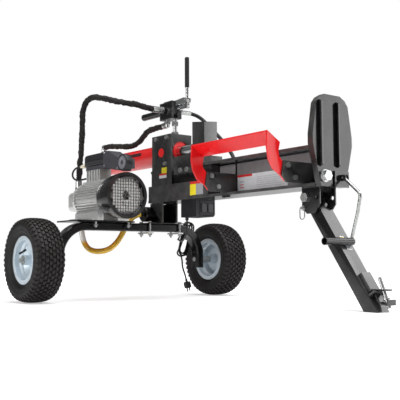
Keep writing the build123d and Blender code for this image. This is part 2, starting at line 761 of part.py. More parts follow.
with BuildPart() as stator:
    with BuildSketch(PX(-70)):
        with Locations((MOT_Y, MOT_Z)):
            Circle(51.8)
            Circle(31, mode=Mode.SUBTRACT)
            with PolarLocations(38, 24):
                Rectangle(8, 4, mode=Mode.SUBTRACT)
    extrude(amount=110)
stator.part.label = "stator"
export_step(stator.part, "parts/stator.step")

with BuildPart() as rotor_shaft:
    rod(PX(-137), [(MOT_Y, MOT_Z)], 10, 315)
    rod(PX(-70), [(MOT_Y, MOT_Z)], 30, 110)
    rod(PX(-190), [(MOT_Y, MOT_Z)], 6, 60)
rotor_shaft.part.label = "rotor_shaft"
export_step(rotor_shaft.part, "parts/rotor_shaft.step")

with BuildPart() as cooling_fan:
    with BuildSketch(PX(140)):
        with Locations((MOT_Y, MOT_Z)):
            Circle(70)
            Circle(10.02, mode=Mode.SUBTRACT)
    extrude(amount=3)
    with BuildSketch(PX(143)):
        with Locations((MOT_Y, MOT_Z)):
            Circle(20)
            Circle(10.02, mode=Mode.SUBTRACT)
    extrude(amount=26)
    with BuildSketch(PX(143)):
        with Locations((MOT_Y, MOT_Z)):
            with PolarLocations(45.5, 9):
                Rectangle(47, 3)
    extrude(amount=53)
    # front shroud with the inlet eye
    with BuildSketch(PX(196)):
        with Locations((MOT_Y, MOT_Z)):
            Circle(73)
            Circle(17, mode=Mode.SUBTRACT)
    extrude(amount=2.5)
cooling_fan.part.label = "cooling_fan"
export_step(cooling_fan.part, "parts/cooling_fan.step")

with BuildPart() as fan_cowl:
    with BuildSketch(Plane(origin=(XA, MOT_Y, MOT_Z), x_dir=(1, 0, 0), z_dir=(0, 1, 0))):
        with BuildLine():
            Polyline(
                (92, 68.1), (92, 73), (110, 80), (150, 88), (196, 92), (212, 92), (212, 79), (209, 79),
                (209, 89), (196, 89.5), (150, 85.5), (112, 77.5), (95, 70.5), (95, 68.1), close=True,
            )
        make_face()
    revolve(axis=Axis((XA, MOT_Y, MOT_Z), (1, 0, 0)))
    # woven guard over the air inlet
    with BuildSketch(PX(206)):
        with Locations((MOT_Y, MOT_Z)):
            Circle(89.2)
            for i in range(-6, 7):
                for j in range(-6, 7):
                    if (i * 12) ** 2 + (j * 12) ** 2 < 70 ** 2:
                        with Locations((i * 12, j * 12)):
                            Rectangle(9.6, 9.6, mode=Mode.SUBTRACT)
    extrude(amount=2.5)
fan_cowl.part.label = "fan_cowl"
export_step(fan_cowl.part, "parts/fan_cowl.step")

with BuildPart() as capacitor_cover:
    with BuildSketch(PX(-88)):
        with Locations((MOT_Y - 4, 580)):
            RectangleRounded(54, 52, 20)
    extrude(amount=163)
    # cable gland
    rod(PX(-130), [(-178, 562)], 7, 43)
capacitor_cover.part.label = "capacitor_cover"
export_step(capacitor_cover.part, "parts/capacitor_cover.step")

with BuildPart() as terminal_housing:
    # shallow box that carries the cover
    with BuildSketch(PZ(537)):
        with Locations((3, MOT_Y - 4)):
            Rectangle(154, 46)
    extrude(amount=17)
    # faceted housing at the front end
    with BuildSketch(PY(-134)):
        with BuildLine():
            Polyline(
                (75, 553), (92, 537), (150, 524), (196, 516), (206, 528), (206, 560), (168, 577), (118, 603),
                (75, 606), close=True,
            )
        make_face()
    extrude(amount=56)
    with BuildSketch(PY(-140)):
        with Locations((214, 542)):
            Rectangle(44, 40)
    extrude(amount=28)
    with BuildSketch(PY(-166)):
        with Locations((227, 544)):
            Circle(33)
    extrude(amount=28)
    fillet(terminal_housing.faces().sort_by(Axis.Y)[0].edges(), 3)
terminal_housing.part.label = "terminal_housing"
export_step(terminal_housing.part, "parts/terminal_housing.step")

# ------------------------------------------------------------------
# Gear pump behind the motor
# ------------------------------------------------------------------
GEAR_Z, GEAR_M, GEAR_PA = 12, 2.0, math.radians(25)
GEAR_RP = GEAR_Z * GEAR_M / 2


def gear_points(phase):
    """Outline of a spur gear: involute flanks, backlash 0.3 at the pitch line."""
    rb = GEAR_RP * math.cos(GEAR_PA)
    ra, rf = GEAR_RP + 0.9 * GEAR_M, GEAR_RP - 1.2 * GEAR_M
    inv = math.tan(GEAR_PA) - GEAR_PA
    half = math.pi / (2 * GEAR_Z) - 0.3 / (2 * GEAR_RP) + inv
    pts = []
    for k in range(GEAR_Z):
        c = phase + 2 * math.pi * k / GEAR_Z
        flank = []
        for i in range(7):
            r = rb + (ra - rb) * i / 6
            t = math.sqrt(max((r / rb) ** 2 - 1, 0))
            flank.append((r, half - (t - math.atan(t))))
        pts.append((rf * math.cos(c - half - 0.02), rf * math.sin(c - half - 0.02)))
        pts += [(r * math.cos(c - a), r * math.sin(c - a)) for r, a in flank]
        pts += [(r * math.cos(c + a), r * math.sin(c + a)) for r, a in reversed(flank)]
        pts.append((rf * math.cos(c + half + 0.02), rf * math.sin(c + half + 0.02)))
    return pts


PUMP_GAP = 2 * GEAR_RP + 0.1
with BuildPart() as drive_gear:
    with BuildSketch(PX(-180)):
        with BuildLine():
            Polyline([(MOT_Y + a, MOT_Z + b) for a, b in gear_points(math.pi / 2)], close=True)
        make_face()
        with Locations((MOT_Y, MOT_Z)):
            Circle(6.02, mode=Mode.SUBTRACT)
    extrude(amount=24)
drive_gear.part.label = "drive_gear"
export_step(drive_gear.part, "parts/drive_gear.step")

with BuildPart() as driven_gear:
    with BuildSketch(PX(-180)):
        with BuildLine():
            Polyline([(MOT_Y + a, MOT_Z - PUMP_GAP + b) for a, b in gear_points(math.pi / 2 + math.pi / GEAR_Z)], close=True)
        make_face()
    extrude(amount=24)
    rod(PX(-190), [(MOT_Y, MOT_Z - PUMP_GAP)], 6, 44)
driven_gear.part.label = "driven_gear"
export_step(driven_gear.part, "parts/driven_gear.step")

with BuildPart() as pump_body:
    # bell housing on the rear shield, then the pump block
    with BuildSketch(PX(-140)):
        with Locations((MOT_Y, MOT_Z)):
            Circle(54)
            Circle(36, mode=Mode.SUBTRACT)
    extrude(amount=18)
    with BuildSketch(PX(-205)):
        with Locations((MOT_Y, MOT_Z - 4)):
            RectangleRounded(78, 82, 22)
    extrude(amount=65)
    with BuildSketch(PX(-180.2)):
        with Locations((MOT_Y, MOT_Z), (MOT_Y, MOT_Z - PUMP_GAP)):
            Circle(GEAR_RP + 0.9 * GEAR_M + 0.2)
    extrude(amount=24.4, mode=Mode.SUBTRACT)
    with BuildSketch(PX(-190.2)):
        with Locations((MOT_Y, MOT_Z), (MOT_Y, MOT_Z - PUMP_GAP)):
            Circle(6 + RUN_FIT)
    extrude(amount=45, mode=Mode.SUBTRACT)
    drill(PX(-156), [(MOT_Y, MOT_Z)], 10.2, 40)
    # outlet and inlet necks
    rod(PZ(450), [(-186, MOT_Y)], 13, 14)
    rod(PZ(362), [(-165, MOT_Y)], 12, 14)
    hexes(PX(-205), [(MOT_Y - 28, MOT_Z + 22), (MOT_Y + 28, MOT_Z + 22), (MOT_Y - 28, MOT_Z - 32), (MOT_Y + 28, MOT_Z - 32)], 13, -6)
pump_body.part.label = "pump_body"
export_step(pump_body.part, "parts/pump_body.step")

# ------------------------------------------------------------------
# Control valve and lever
# ------------------------------------------------------------------
with BuildPart() as valve_body:
    with BuildSketch(PX(28)):
        with Locations((BEAM_Y, 808)):
            Rectangle(48, 76)
    extrude(amount=97)
    with BuildSketch(PZ(VALVE_Z1)):
        with Locations((76, BEAM_Y)):
            Rectangle(60, 30)
    extrude(amount=6)
    # port bosses
    rod(PY(BEAM_Y - 24), [(62, SPOOL_Z)], 15, 8)
    with BuildSketch(PY(BEAM_Y + 32)):
        with Locations((100, 806)):
            Circle(13)
    extrude(amount=8)
    # relief cartridge and the spool end cap
    rod(PX(125), [(BEAM_Y, 784)], 10, 16)
    with BuildSketch(PX(-133)):
        with Locations((BEAM_Y, SPOOL_Z)):
            Circle(15)
    extrude(amount=161)
    with BuildSketch(PX(-129)):
        with Locations((BEAM_Y, SPOOL_Z)):
            Circle(12)
    extrude(amount=157, mode=Mode.SUBTRACT)
    drill(PX(20), [(BEAM_Y, SPOOL_Z)], 10 + RUN_FIT, 120)
valve_body.part.label = "valve_body"
export_step(valve_body.part, "parts/valve_body.step")

with BuildPart() as spool:
    rod(PX(-40), [(BEAM_Y, SPOOL_Z)], 10, 190)
    with BuildSketch(PY(BEAM_Y + 3)):
        with Locations((172, SPOOL_Z)):
            Rectangle(64, 14)
    extrude(amount=6)
    rod(PY(BEAM_Y + 7.5), [(LEVER_X, SPOOL_Z)], 3, 15)
    # grooves between the lands
    for x in (45, 80):
        with BuildSketch(PX(x)):
            with Locations((BEAM_Y, SPOOL_Z)):
                Circle(11)
                Circle(7, mode=Mode.SUBTRACT)
        extrude(amount=12, mode=Mode.SUBTRACT)
spool.part.label = "spool"
export_step(spool.part, "parts/spool.step")

with BuildPart() as lever_bracket:
    for s in (-1, 1):
        with BuildSketch(PY(BEAM_Y + s * 12 + 2)):
            with BuildLine():
                Polyline((125, 824), (125, 846), (190, 850), (206, 846), (206, 830), (196, 824), close=True)
            make_face()
            with Locations((LEVER_X, LEVER_Z)):
                Circle(4, mode=Mode.SUBTRACT)
        extrude(amount=4)
    with BuildSketch(PX(125)):
        with Locations((BEAM_Y, 840)):
            Rectangle(28, 12)
    extrude(amount=5)
lever_bracket.part.label = "lever_bracket"
export_step(lever_bracket.part, "parts/lever_bracket.step")

with BuildPart() as control_lever:
    with BuildSketch(PY(BEAM_Y + 7)):
        with Locations((LEVER_X, LEVER_Z)):
            Circle(9)
        with Locations((LEVER_X, (LEVER_Z + 804) / 2)):
            Rectangle(16, LEVER_Z - 804)
        with Locations((LEVER_X, LEVER_Z)):
            Circle(4 + RUN_FIT, mode=Mode.SUBTRACT)
        with Locations((LEVER_X, SPOOL_Z)):
            SlotOverall(12, 6.9, rotation=90, mode=Mode.SUBTRACT)
    extrude(amount=14)
    with BuildSketch(PY(BEAM_Y + 3.6)):
        with Locations((LEVER_X, SPOOL_Z - 2)):
            Rectangle(40, 24)
    extrude(amount=7.2, mode=Mode.SUBTRACT)
    with BuildSketch(PZ(LEVER_Z + 8)):
        with Locations((LEVER_X, BEAM_Y)):
            Circle(6)
    extrude(amount=150)
control_lever.part.label = "control_lever"
export_step(control_lever.part, "parts/control_lever.step")

with BuildPart() as lever_grip:
    with BuildSketch(PZ(894)):
        with Locations((LEVER_X, BEAM_Y)):
            Circle(9.5)
    extrude(amount=130)
    fillet(lever_grip.edges().group_by(Axis.Z)[-1], 5)
    with BuildSketch(PZ(893)):
        with Locations((LEVER_X, BEAM_Y)):
            Circle(6.02)
    extrude(amount=103.1, mode=Mode.SUBTRACT)
lever_grip.part.label = "lever_grip"
export_step(lever_grip.part, "parts/lever_grip.step")

# ------------------------------------------------------------------
# Hoses, cables and their fittings
# ------------------------------------------------------------------
HOSE_A = [
    (62, 61, 812), (68, 14, 814), (86, -32, 815), (84, -76, 816), (58, -112, 823), (8, -142, 840), (-50, -158, 857),
    (-112, -168, 850), (-136, -170, 800), (-139, -168, 738), (-152, -164, 664), (-170, -160, 590), (-182, -158, 538),
    (-186, -158, 505),
]
HOSE_B = [
    (28, 146, 751), (-30, 146, 750), (-84, 145, 748), (-126, 142, 728), (-165, 140, 700), (-215, 139, 692),
    (-272, 138, 695), (-338, 140, 704), (-396, 142, 712), (-438, 145, 716), (-474, 147, 716),
]
HOSE_D = [
    (100, 235, 806), (104, 258, 803), (120, 280, 788), (150, 291, 758), (195, 294, 720), (245, 292, 680),
    (295, 287, 638), (340, 280, 592), (372, 270, 543), (388, 257, 500), (393, 242, 472), (393, 226, 456),
]
SUCTION = [
    (-165, -158, 362), (-164, -158, 318), (-156, -157, 272), (-137, -155, 232), (-106, -148, 206), (-76, -122, 198),
    (-58, -84, 206), (-52, -50, 232), (-50, -24, 268), (-46, -4, 306), (-36, 12, 338), (-24, 32, 356), (-19, 52, 361),
]
MOTOR_CABLE = [
    (-130, -178, 562), (-148, -182, 562), (-168, -188, 556), (-181, -192, 540), (-179, -192, 522), (-163, -189, 509),
    (-138, -184, 505), (-108, -178, 506), (-78, -176, 508),
]
POWER_CORD = [
    (232, 118, 325), (232, 119, 305), (222, 124, 280), (196, 136, 260), (158, 154, 246), (112, 178, 240),
    (66, 204, 244), (24, 228, 252), (-14, 250, 254), (-40, 272, 250), (-48, 290, 240),
]
CORD_TAIL = [(-48, 300, 166), (-48, 300, 140), (-48, 306, 116), (-48, 316, 95), (-48, 322, 74)]


def unit(a, b):
    v = Vector(*b) - Vector(*a)
    return (v.X, v.Y, v.Z)


hose_v, hose_radii = route(HOSE_A)
print("hose_a radii", [round(r) for r in hose_radii])
with BuildPart() as pressure_hose:
    with BuildLine() as hose_line:
        FilletPolyline(*hose_v, radius=hose_radii)
    with BuildSketch(Plane(origin=hose_line.line @ 0, z_dir=hose_line.line % 0)):
        Circle(HOSE_R)
    sweep()
tube_check("pressure_hose", pressure_hose.part, hose_line.line, HOSE_R)
pressure_hose.part.label = "pressure_hose"
export_step(pressure_hose.part, "parts/pressure_hose.step")

hose_v, hose_radii = route(HOSE_B)
print("hose_b radii", [round(r) for r in hose_radii])
with BuildPart() as retract_hose:
    with BuildLine() as hose_line:
        FilletPolyline(*hose_v, radius=hose_radii)
    with BuildSketch(Plane(origin=hose_line.line @ 0, z_dir=hose_line.line % 0)):
        Circle(HOSE_R)
    sweep()
tube_check("retract_hose", retract_hose.part, hose_line.line, HOSE_R)
retract_hose.part.label = "retract_hose"
export_step(retract_hose.part, "parts/retract_hose.step")

hose_v, hose_radii = route(HOSE_D)
print("hose_d radii", [round(r) for r in hose_radii])
with BuildPart() as return_hose:
    with BuildLine() as hose_line:
        FilletPolyline(*hose_v, radius=hose_radii)
    with BuildSketch(Plane(origin=hose_line.line @ 0, z_dir=hose_line.line % 0)):
        Circle(RETURN_R)
    sweep()
tube_check("return_hose", return_hose.part, hose_line.line, RETURN_R)
return_hose.part.label = "return_hose"
export_step(return_hose.part, "parts/return_hose.step")

hose_v, hose_radii = route(SUCTION)
print("suction radii", [round(r) for r in hose_radii])
with BuildPart() as suction_hose:
    with BuildLine() as hose_line:
        FilletPolyline(*hose_v, radius=hose_radii)
    with BuildSketch(Plane(origin=hose_line.line @ 0, z_dir=hose_line.line % 0)):
        Circle(SUCTION_R)
    sweep()
tube_check("suction_hose", suction_hose.part, hose_line.line, SUCTION_R)
suction_hose.part.label = "suction_hose"
export_step(suction_hose.part, "parts/suction_hose.step")

hose_v, hose_radii = route(MOTOR_CABLE)
print("motor cable radii", [round(r) for r in hose_radii])
with BuildPart() as motor_cable:
    with BuildLine() as hose_line:
        FilletPolyline(*hose_v, radius=hose_radii)
    with BuildSketch(Plane(origin=hose_line.line @ 0, z_dir=hose_line.line % 0)):
        Circle(CABLE_R)
    sweep()
tube_check("motor_cable", motor_cable.part, hose_line.line, CABLE_R)
motor_cable.part.label = "motor_cable"
export_step(motor_cable.part, "parts/motor_cable.step")

hose_v, hose_radii = route(POWER_CORD)
print("power cord radii", [round(r) for r in hose_radii])
with BuildPart() as power_cord:
    with BuildLine() as hose_line:
        FilletPolyline(*hose_v, radius=hose_radii)
    with BuildSketch(Plane(origin=hose_line.line @ 0, z_dir=hose_line.line % 0)):
        Circle(CORD_R)
    sweep()
tube_check("power_cord", power_cord.part, hose_line.line, CORD_R)
power_cord.part.label = "power_cord"
export_step(power_cord.part, "parts/power_cord.step")

hose_v, hose_radii = route(CORD_TAIL)
print("cord tail radii", [round(r) for r in hose_radii])
with BuildPart() as cord_tail:
    with BuildLine() as hose_line:
        FilletPolyline(*hose_v, radius=hose_radii)
    with BuildSketch(Plane(origin=hose_line.line @ 0, z_dir=hose_line.line % 0)):
        Circle(CORD_R)
    sweep()
tube_check("cord_tail", cord_tail.part, hose_line.line, CORD_R)
cord_tail.part.label = "cord_tail"
export_step(cord_tail.part, "parts/cord_tail.step")

with BuildPart() as cord_hank:
    with BuildSketch(PX(-60)):
        with Locations((318, 257)):
            SlotOverall(184, 66, rotation=72)
            SlotOverall(136, 18, rotation=72, mode=Mode.SUBTRACT)
    extrude(amount=24.8)
cord_hank.part.label = "cord_hank"
export_step(cord_hank.part, "parts/cord_hank.step")

with BuildPart() as mains_plug:
    with BuildSketch(Plane(origin=(XA - 48, 322, 74), z_dir=(0, 6, -21))):
        Circle(5.5)
    extrude(amount=14)
    with BuildSketch(Plane(origin=(XA - 48, 322, 74), z_dir=(0, 6, -21)).offset(14)):
        RectangleRounded(26, 30, 8)
    extrude(amount=26)
    with BuildSketch(Plane(origin=(XA - 48, 322, 74), z_dir=(0, 6, -21)).offset(40)):
        with Locations((-6.5, 0), (6.5, 0)):
            Rectangle(2, 6)
    extrude(amount=17)
mains_plug.part.label = "mains_plug"
export_step(mains_plug.part, "parts/mains_plug.step")

with BuildPart() as hose_fittings:
    # valve pressure port to the front hose
    hexes(PY(BEAM_Y - 32), [(62, SPOOL_Z)], 27, 14)
    rod(PY(BEAM_Y - 46), [(62, SPOOL_Z)], 11, 6)
    rod(PY(95), [(62, SPOOL_Z)], 14, 34)
    # pump outlet
    hexes(PZ(464), [(-186, MOT_Y)], 27, 14)
    rod(PZ(478), [(-186, MOT_Y)], 14, 27)
    # valve underside: elbow to the rear hose
    rod(PZ(742), [(52, BEAM_Y)], 10, 28)
    hexes(PZ(756), [(52, BEAM_Y)], 24, 10)
    rod(PX(41), [(146.5, 751)], 11, 12)
    ferrule((28, 146, 751), (13, 0.1, 0), 14, 13.5)
    # rear port elbow
    rod(PZ(CYL_Z + 61), [(-490, BEAM_Y)], 12, 40)
    hexes(PZ(CYL_Z + 61), [(-490, BEAM_Y)], 27, 12)
    ferrule((-474, 147, 716), (-10, 0, 0), 14, 14)
    # front cylinder port to the valve, straight adaptor
    rod(PZ(CYL_Z + 56), [(109, BEAM_Y)], 9, 93)
    hexes(PZ(TOWER_Z1), [(109, BEAM_Y)], 26, 16)
    hexes(PZ(740), [(109, BEAM_Y)], 24, 18)
    # return line at the valve and at the tank
    with BuildSketch(PY(BEAM_Y + 44)):
        with Locations((100, 806)):
            RegularPolygon(11, 6, major_radius=False)
    extrude(amount=12)
    with BuildSketch(PY(235)):
        with Locations((100, 806)):
            Circle(9.5)
    extrude(amount=44)
    with BuildSketch(PY(222)):
        with Locations((393, 453)):
            RegularPolygon(11, 6, major_radius=False)
    extrude(amount=14)
    ferrule((393, 226, 456), (0, -16, -16), 9.5, 8)
hose_fittings.part.label = "hose_fittings"
export_step(hose_fittings.part, "parts/hose_fittings.step")

pieces = [
    axle_frame, stub_axles, left_rim, right_rim, left_tyre, right_tyre, beam, tank_plates, pedestal,
    suction_filter, motor_plate, tower, cylinder_barrel, trunnion_pins, cylinder_heads, piston, piston_rod, slider,
    slider_bolts, wedge, end_plate, stay_handle, cradle_brackets, log_cradle, stand_leg, hitch_bracket,
    hitch_pin, lock_pin, pivot_pins, frame_bolts, switch_box, start_button, stop_button, motor_body, motor_shields,
    motor_bearings, stator, rotor_shaft, cooling_fan, fan_cowl, capacitor_cover, terminal_housing, drive_gear,
    driven_gear, pump_body, valve_body, spool, lever_bracket, control_lever, lever_grip, pressure_hose, retract_hose,
    return_hose, suction_hose, motor_cable, power_cord, cord_tail, cord_hank, mains_plug, hose_fittings,
]
print(len(pieces), "nodes")
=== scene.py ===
import bpy, bmesh, json, math, random
from mathutils import Vector, Matrix, noise


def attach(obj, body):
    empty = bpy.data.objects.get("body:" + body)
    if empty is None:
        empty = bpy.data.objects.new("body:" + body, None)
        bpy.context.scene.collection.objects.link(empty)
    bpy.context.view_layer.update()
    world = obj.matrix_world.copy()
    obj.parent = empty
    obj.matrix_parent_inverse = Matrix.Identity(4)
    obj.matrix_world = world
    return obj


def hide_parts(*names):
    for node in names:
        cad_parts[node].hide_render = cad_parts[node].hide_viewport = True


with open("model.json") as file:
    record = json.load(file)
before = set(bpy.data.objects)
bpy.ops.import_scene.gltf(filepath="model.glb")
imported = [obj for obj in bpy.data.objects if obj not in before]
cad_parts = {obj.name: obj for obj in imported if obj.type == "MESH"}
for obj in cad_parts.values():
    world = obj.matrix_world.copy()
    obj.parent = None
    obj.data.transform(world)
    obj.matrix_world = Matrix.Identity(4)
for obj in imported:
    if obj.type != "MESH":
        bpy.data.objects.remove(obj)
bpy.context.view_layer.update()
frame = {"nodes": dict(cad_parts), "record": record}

XA = -353.0
RNG = random.Random(7)
REC = frame["record"]
BODIES = REC["behaviour"]["bodies"]
BODY_OF = {n: b for b, ns in BODIES.items() for n in ns}
SLOT_OF = {s["node"]: s["material_slot"] for s in REC["subparts"]}
COL = bpy.context.scene.collection


def L(x, y, z):
    return Vector(((XA + x) / 1000.0, y / 1000.0, z / 1000.0))


# ------------------------------------------------------------------ camera
az, pitch, roll = math.radians(52.14), math.radians(4.4), math.radians(-0.27)
fwd = Vector((-math.sin(az) * math.cos(pitch), math.cos(az) * math.cos(pitch), math.sin(pitch)))
right = Vector((math.cos(az), math.sin(az), 0))
up = right.cross(fwd)
r2 = math.cos(roll) * right + math.sin(roll) * up
u2 = -math.sin(roll) * right + math.cos(roll) * up
cam_data = bpy.data.cameras.new("camera")
cam_data.lens = 744.88 / 400 * 36
cam_data.sensor_width = 36
cam_data.shift_y = 0.0007
cam_data.clip_start, cam_data.clip_end = 0.05, 60
cam = bpy.data.objects.new("camera", cam_data)
COL.objects.link(cam)
rot = Matrix((r2, u2, -fwd)).transposed()
cam.matrix_world = Matrix.Translation(L(2692.93, -1726.3, 171.77)) @ rot.to_4x4()
bpy.context.scene.camera = cam


# --------------------------------------------------------------- materials
def material(name, base, rough=0.4, metal=0.0, var=0.15, rvar=0.1, scale=60, bump=0.0, bscale=900, wear=0.0,
             wear_col=(0.35, 0.35, 0.34), coat=0.0, spec=0.5, dust=0.0, dust_col=(0.32, 0.3, 0.27), stretch=(1, 1, 1),
             transmission=0.0, sheen=0.0, alpha=None, dark=None):
    m = bpy.data.materials.new(name)
    m.use_nodes = True
    nt = m.node_tree
    n, k = nt.nodes, nt.links
    p = n["Principled BSDF"]
    tc = n.new("ShaderNodeTexCoord")
    mp = n.new("ShaderNodeMapping")
    mp.inputs["Scale"].default_value = stretch
    k.new(tc.outputs["Object"], mp.inputs["Vector"])
    nz = n.new("ShaderNodeTexNoise")
    nz.inputs["Scale"].default_value = scale
    nz.inputs["Detail"].default_value = 6
    k.new(mp.outputs["Vector"], nz.inputs["Vector"])
    ramp = n.new("ShaderNodeValToRGB")
    lo = tuple(c * (1 - var) for c in base)
    hi = tuple(min(1, c * (1 + var)) for c in base)
    ramp.color_ramp.elements[0].position = 0.32
    ramp.color_ramp.elements[1].position = 0.68
    ramp.color_ramp.elements[0].color = (*lo, 1)
    ramp.color_ramp.elements[1].color = (*hi, 1)
    k.new(nz.outputs["Fac"], ramp.inputs["Fac"])
    col = ramp.outputs["Color"]
    rr = n.new("ShaderNodeMapRange")
    rr.inputs["To Min"].default_value = max(0.02, rough - rvar)
    rr.inputs["To Max"].default_value = min(1, rough + rvar)
    nz2 = n.new("ShaderNodeTexNoise")
    nz2.inputs["Scale"].default_value = scale * 0.37
    nz2.inputs["Detail"].default_value = 8
    k.new(mp.outputs["Vector"], nz2.inputs["Vector"])
    k.new(nz2.outputs["Fac"], rr.inputs["Value"])
    rough_out = rr.outputs["Result"]
    if wear:
        geo = n.new("ShaderNodeNewGeometry")
        wr = n.new("ShaderNodeMapRange")
        wr.inputs["From Min"].default_value = 0.53
        wr.inputs["From Max"].default_value = 0.60
        k.new(geo.outputs["Pointiness"], wr.inputs["Value"])
        mul = n.new("ShaderNodeMath")
        mul.operation = "MULTIPLY"
        k.new(wr.outputs["Result"], mul.inputs[0])
        k.new(nz2.outputs["Fac"], mul.inputs[1])
        mul2 = n.new("ShaderNodeMath")
        mul2.operation = "MULTIPLY"
        mul2.inputs[1].default_value = wear
        k.new(mul.outputs[0], mul2.inputs[0])
        mx = n.new("ShaderNodeMixRGB")
        mx.inputs["Color2"].default_value = (*wear_col, 1)
        k.new(mul2.outputs[0], mx.inputs["Fac"])
        k.new(col, mx.inputs["Color1"])
        col = mx.outputs["Color"]
    if dust:
        dz = n.new("ShaderNodeTexNoise")
        dz.inputs["Scale"].default_value = 14
        dz.inputs["Detail"].default_value = 9
        k.new(tc.outputs["Object"], dz.inputs["Vector"])
        dr = n.new("ShaderNodeMapRange")
        dr.inputs["From Min"].default_value = 0.5
        dr.inputs["From Max"].default_value = 0.8
        dr.inputs["To Max"].default_value = dust
        k.new(dz.outputs["Fac"], dr.inputs["Value"])
        dm = n.new("ShaderNodeMixRGB")
        dm.inputs["Color2"].default_value = (*dust_col, 1)
        k.new(dr.outputs["Result"], dm.inputs["Fac"])
        k.new(col, dm.inputs["Color1"])
        col = dm.outputs["Color"]
    k.new(col, p.inputs["Base Color"])
    k.new(rough_out, p.inputs["Roughness"])
    p.inputs["Metallic"].default_value = metal
    p.inputs["Specular IOR Level"].default_value = spec
    p.inputs["Coat Weight"].default_value = coat
    p.inputs["Coat Roughness"].default_value = 0.08
    p.inputs["Transmission Weight"].default_value = transmission
    p.inputs["Sheen Weight"].default_value = sheen
    if bump:
        bz = n.new("ShaderNodeTexNoise")
        bz.inputs["Scale"].default_value = bscale
        bz.inputs["Detail"].default_value = 3
        k.new(mp.outputs["Vector"], bz.inputs["Vector"])
        b = n.new("ShaderNodeBump")
        b.inputs["Strength"].default_value = bump
        b.inputs["Distance"].default_value = 0.0006
        k.new(bz.outputs["Fac"], b.inputs["Height"])
        k.new(b.outputs["Normal"], p.inputs["Normal"])
    return m


M = {
    "black_paint": material("black_gloss_paint", (0.0045, 0.0045, 0.005), 0.2, var=0.3, rvar=0.05, bump=0.04, bscale=420, wear=0.5, coat=0.15, dust=0.012, spec=0.34),
    "red_paint": material("red_gloss_paint", (0.72, 0.002, 0.005), 0.3, var=0.05, rvar=0.06, bump=0.04, bscale=420, wear=0.2, wear_col=(0.85, 0.25, 0.22), coat=0.2, dust=0.01),
    "chrome": material("hard_chrome", (0.72, 0.73, 0.74), 0.14, 1.0, var=0.06, rvar=0.05, scale=220, bump=0.02, stretch=(0.2, 1, 1)),
    "stay_steel": material("plated_rod", (0.40, 0.41, 0.40), 0.26, 1.0, var=0.14, rvar=0.08, scale=200, bump=0.04, bscale=1400),
    "zinc": material("bright_zinc", (0.50, 0.51, 0.50), 0.30, 0.92, var=0.16, rvar=0.1, scale=260, bump=0.08, bscale=1600),
    "steel": material("machined_steel", (0.42, 0.42, 0.43), 0.32, 1.0, var=0.12, scale=300, bump=0.05, stretch=(6, 1, 1)),
    "aluminium": material("cast_aluminium", (0.68, 0.68, 0.67), 0.42, 0.75, var=0.1, rvar=0.12, scale=140, bump=0.22, bscale=1300, dust=0.08),
    "rim_grey": material("satin_zinc_rim", (0.60, 0.68, 0.74), 0.38, 0.35, var=0.05, rvar=0.08, scale=40, bump=0.03, bscale=900),
    "tyre_rubber": material("tyre_rubber", (0.007, 0.0062, 0.006), 0.55, var=0.3, rvar=0.12, scale=90, bump=0.3, bscale=1500, wear=0.25, wear_col=(0.09, 0.075, 0.068), dust=0.06, dust_col=(0.07, 0.058, 0.05), spec=0.3),
    "rubber": material("black_rubber", (0.007, 0.007, 0.008), 0.5, var=0.3, rvar=0.1, bump=0.15, bscale=2200, spec=0.35),
    "black_plastic": material("black_moulded_plastic", (0.010, 0.011, 0.014), 0.36, var=0.2, rvar=0.08, bump=0.3, bscale=3000, spec=0.38),
    "grey_plastic": material("dark_grey_plastic", (0.045, 0.045, 0.052), 0.42, var=0.14, rvar=0.06, bump=0.35, bscale=2600, spec=0.4),
    "button_grey": material("button_plastic", (0.035, 0.035, 0.04), 0.35, var=0.12, bump=0.12),
    "disc_grey": material("disc_face_plastic", (0.17, 0.17, 0.19), 0.42, var=0.14, bump=0.2, bscale=1800),
    "laminations": material("stator_laminations", (0.12, 0.115, 0.11), 0.55, 0.6, var=0.2, bump=0.3, bscale=2500, stretch=(8, 1, 1)),
    "clear_pvc": material("oil_filled_pvc", (0.80, 0.66, 0.34), 0.16, var=0.12, rvar=0.05, scale=50, coat=0.4, transmission=0.35),
    "fan_white": material("fan_plastic", (0.92, 0.92, 0.90), 0.5, var=0.05, bump=0.1),
    "gland_cream": material("cream_gland", (0.72, 0.66, 0.52), 0.4, var=0.08, bump=0.12),
    "label_white": material("label_white_film", (0.72, 0.72, 0.71), 0.42, var=0.04, rvar=0.05, bump=0.04),
    "label_silver": material("label_silver_film", (0.66, 0.67, 0.69), 0.4, var=0.06, rvar=0.05, bump=0.04),
    "label_yellow": material("label_yellow_film", (0.82, 0.68, 0.02), 0.4, var=0.05, rvar=0.05, bump=0.04),
    "label_red": material("label_red_film", (0.62, 0.02, 0.02), 0.4, var=0.05, rvar=0.05, bump=0.04),
    "label_grey": material("label_grey_film", (0.30, 0.31, 0.33), 0.42, var=0.06, rvar=0.05, bump=0.04),
    # painted shade: dark red for the strip along the red cylinder
    "painted_shade_red": material("label_dark_film", (0.035, 0.006, 0.007), 0.4, var=0.15, rvar=0.05, bump=0.04),
    # grey tone laid over the beam web's near face
    "web_grey_tone": material("satin_grey_web_tone", (0.17, 0.162, 0.165), 0.45, var=0.1, rvar=0.06, bump=0.05),
    "weld": material("painted_weld", (0.006, 0.006, 0.007), 0.34, var=0.3, rvar=0.1, bump=0.4, bscale=700, coat=0.2),
}


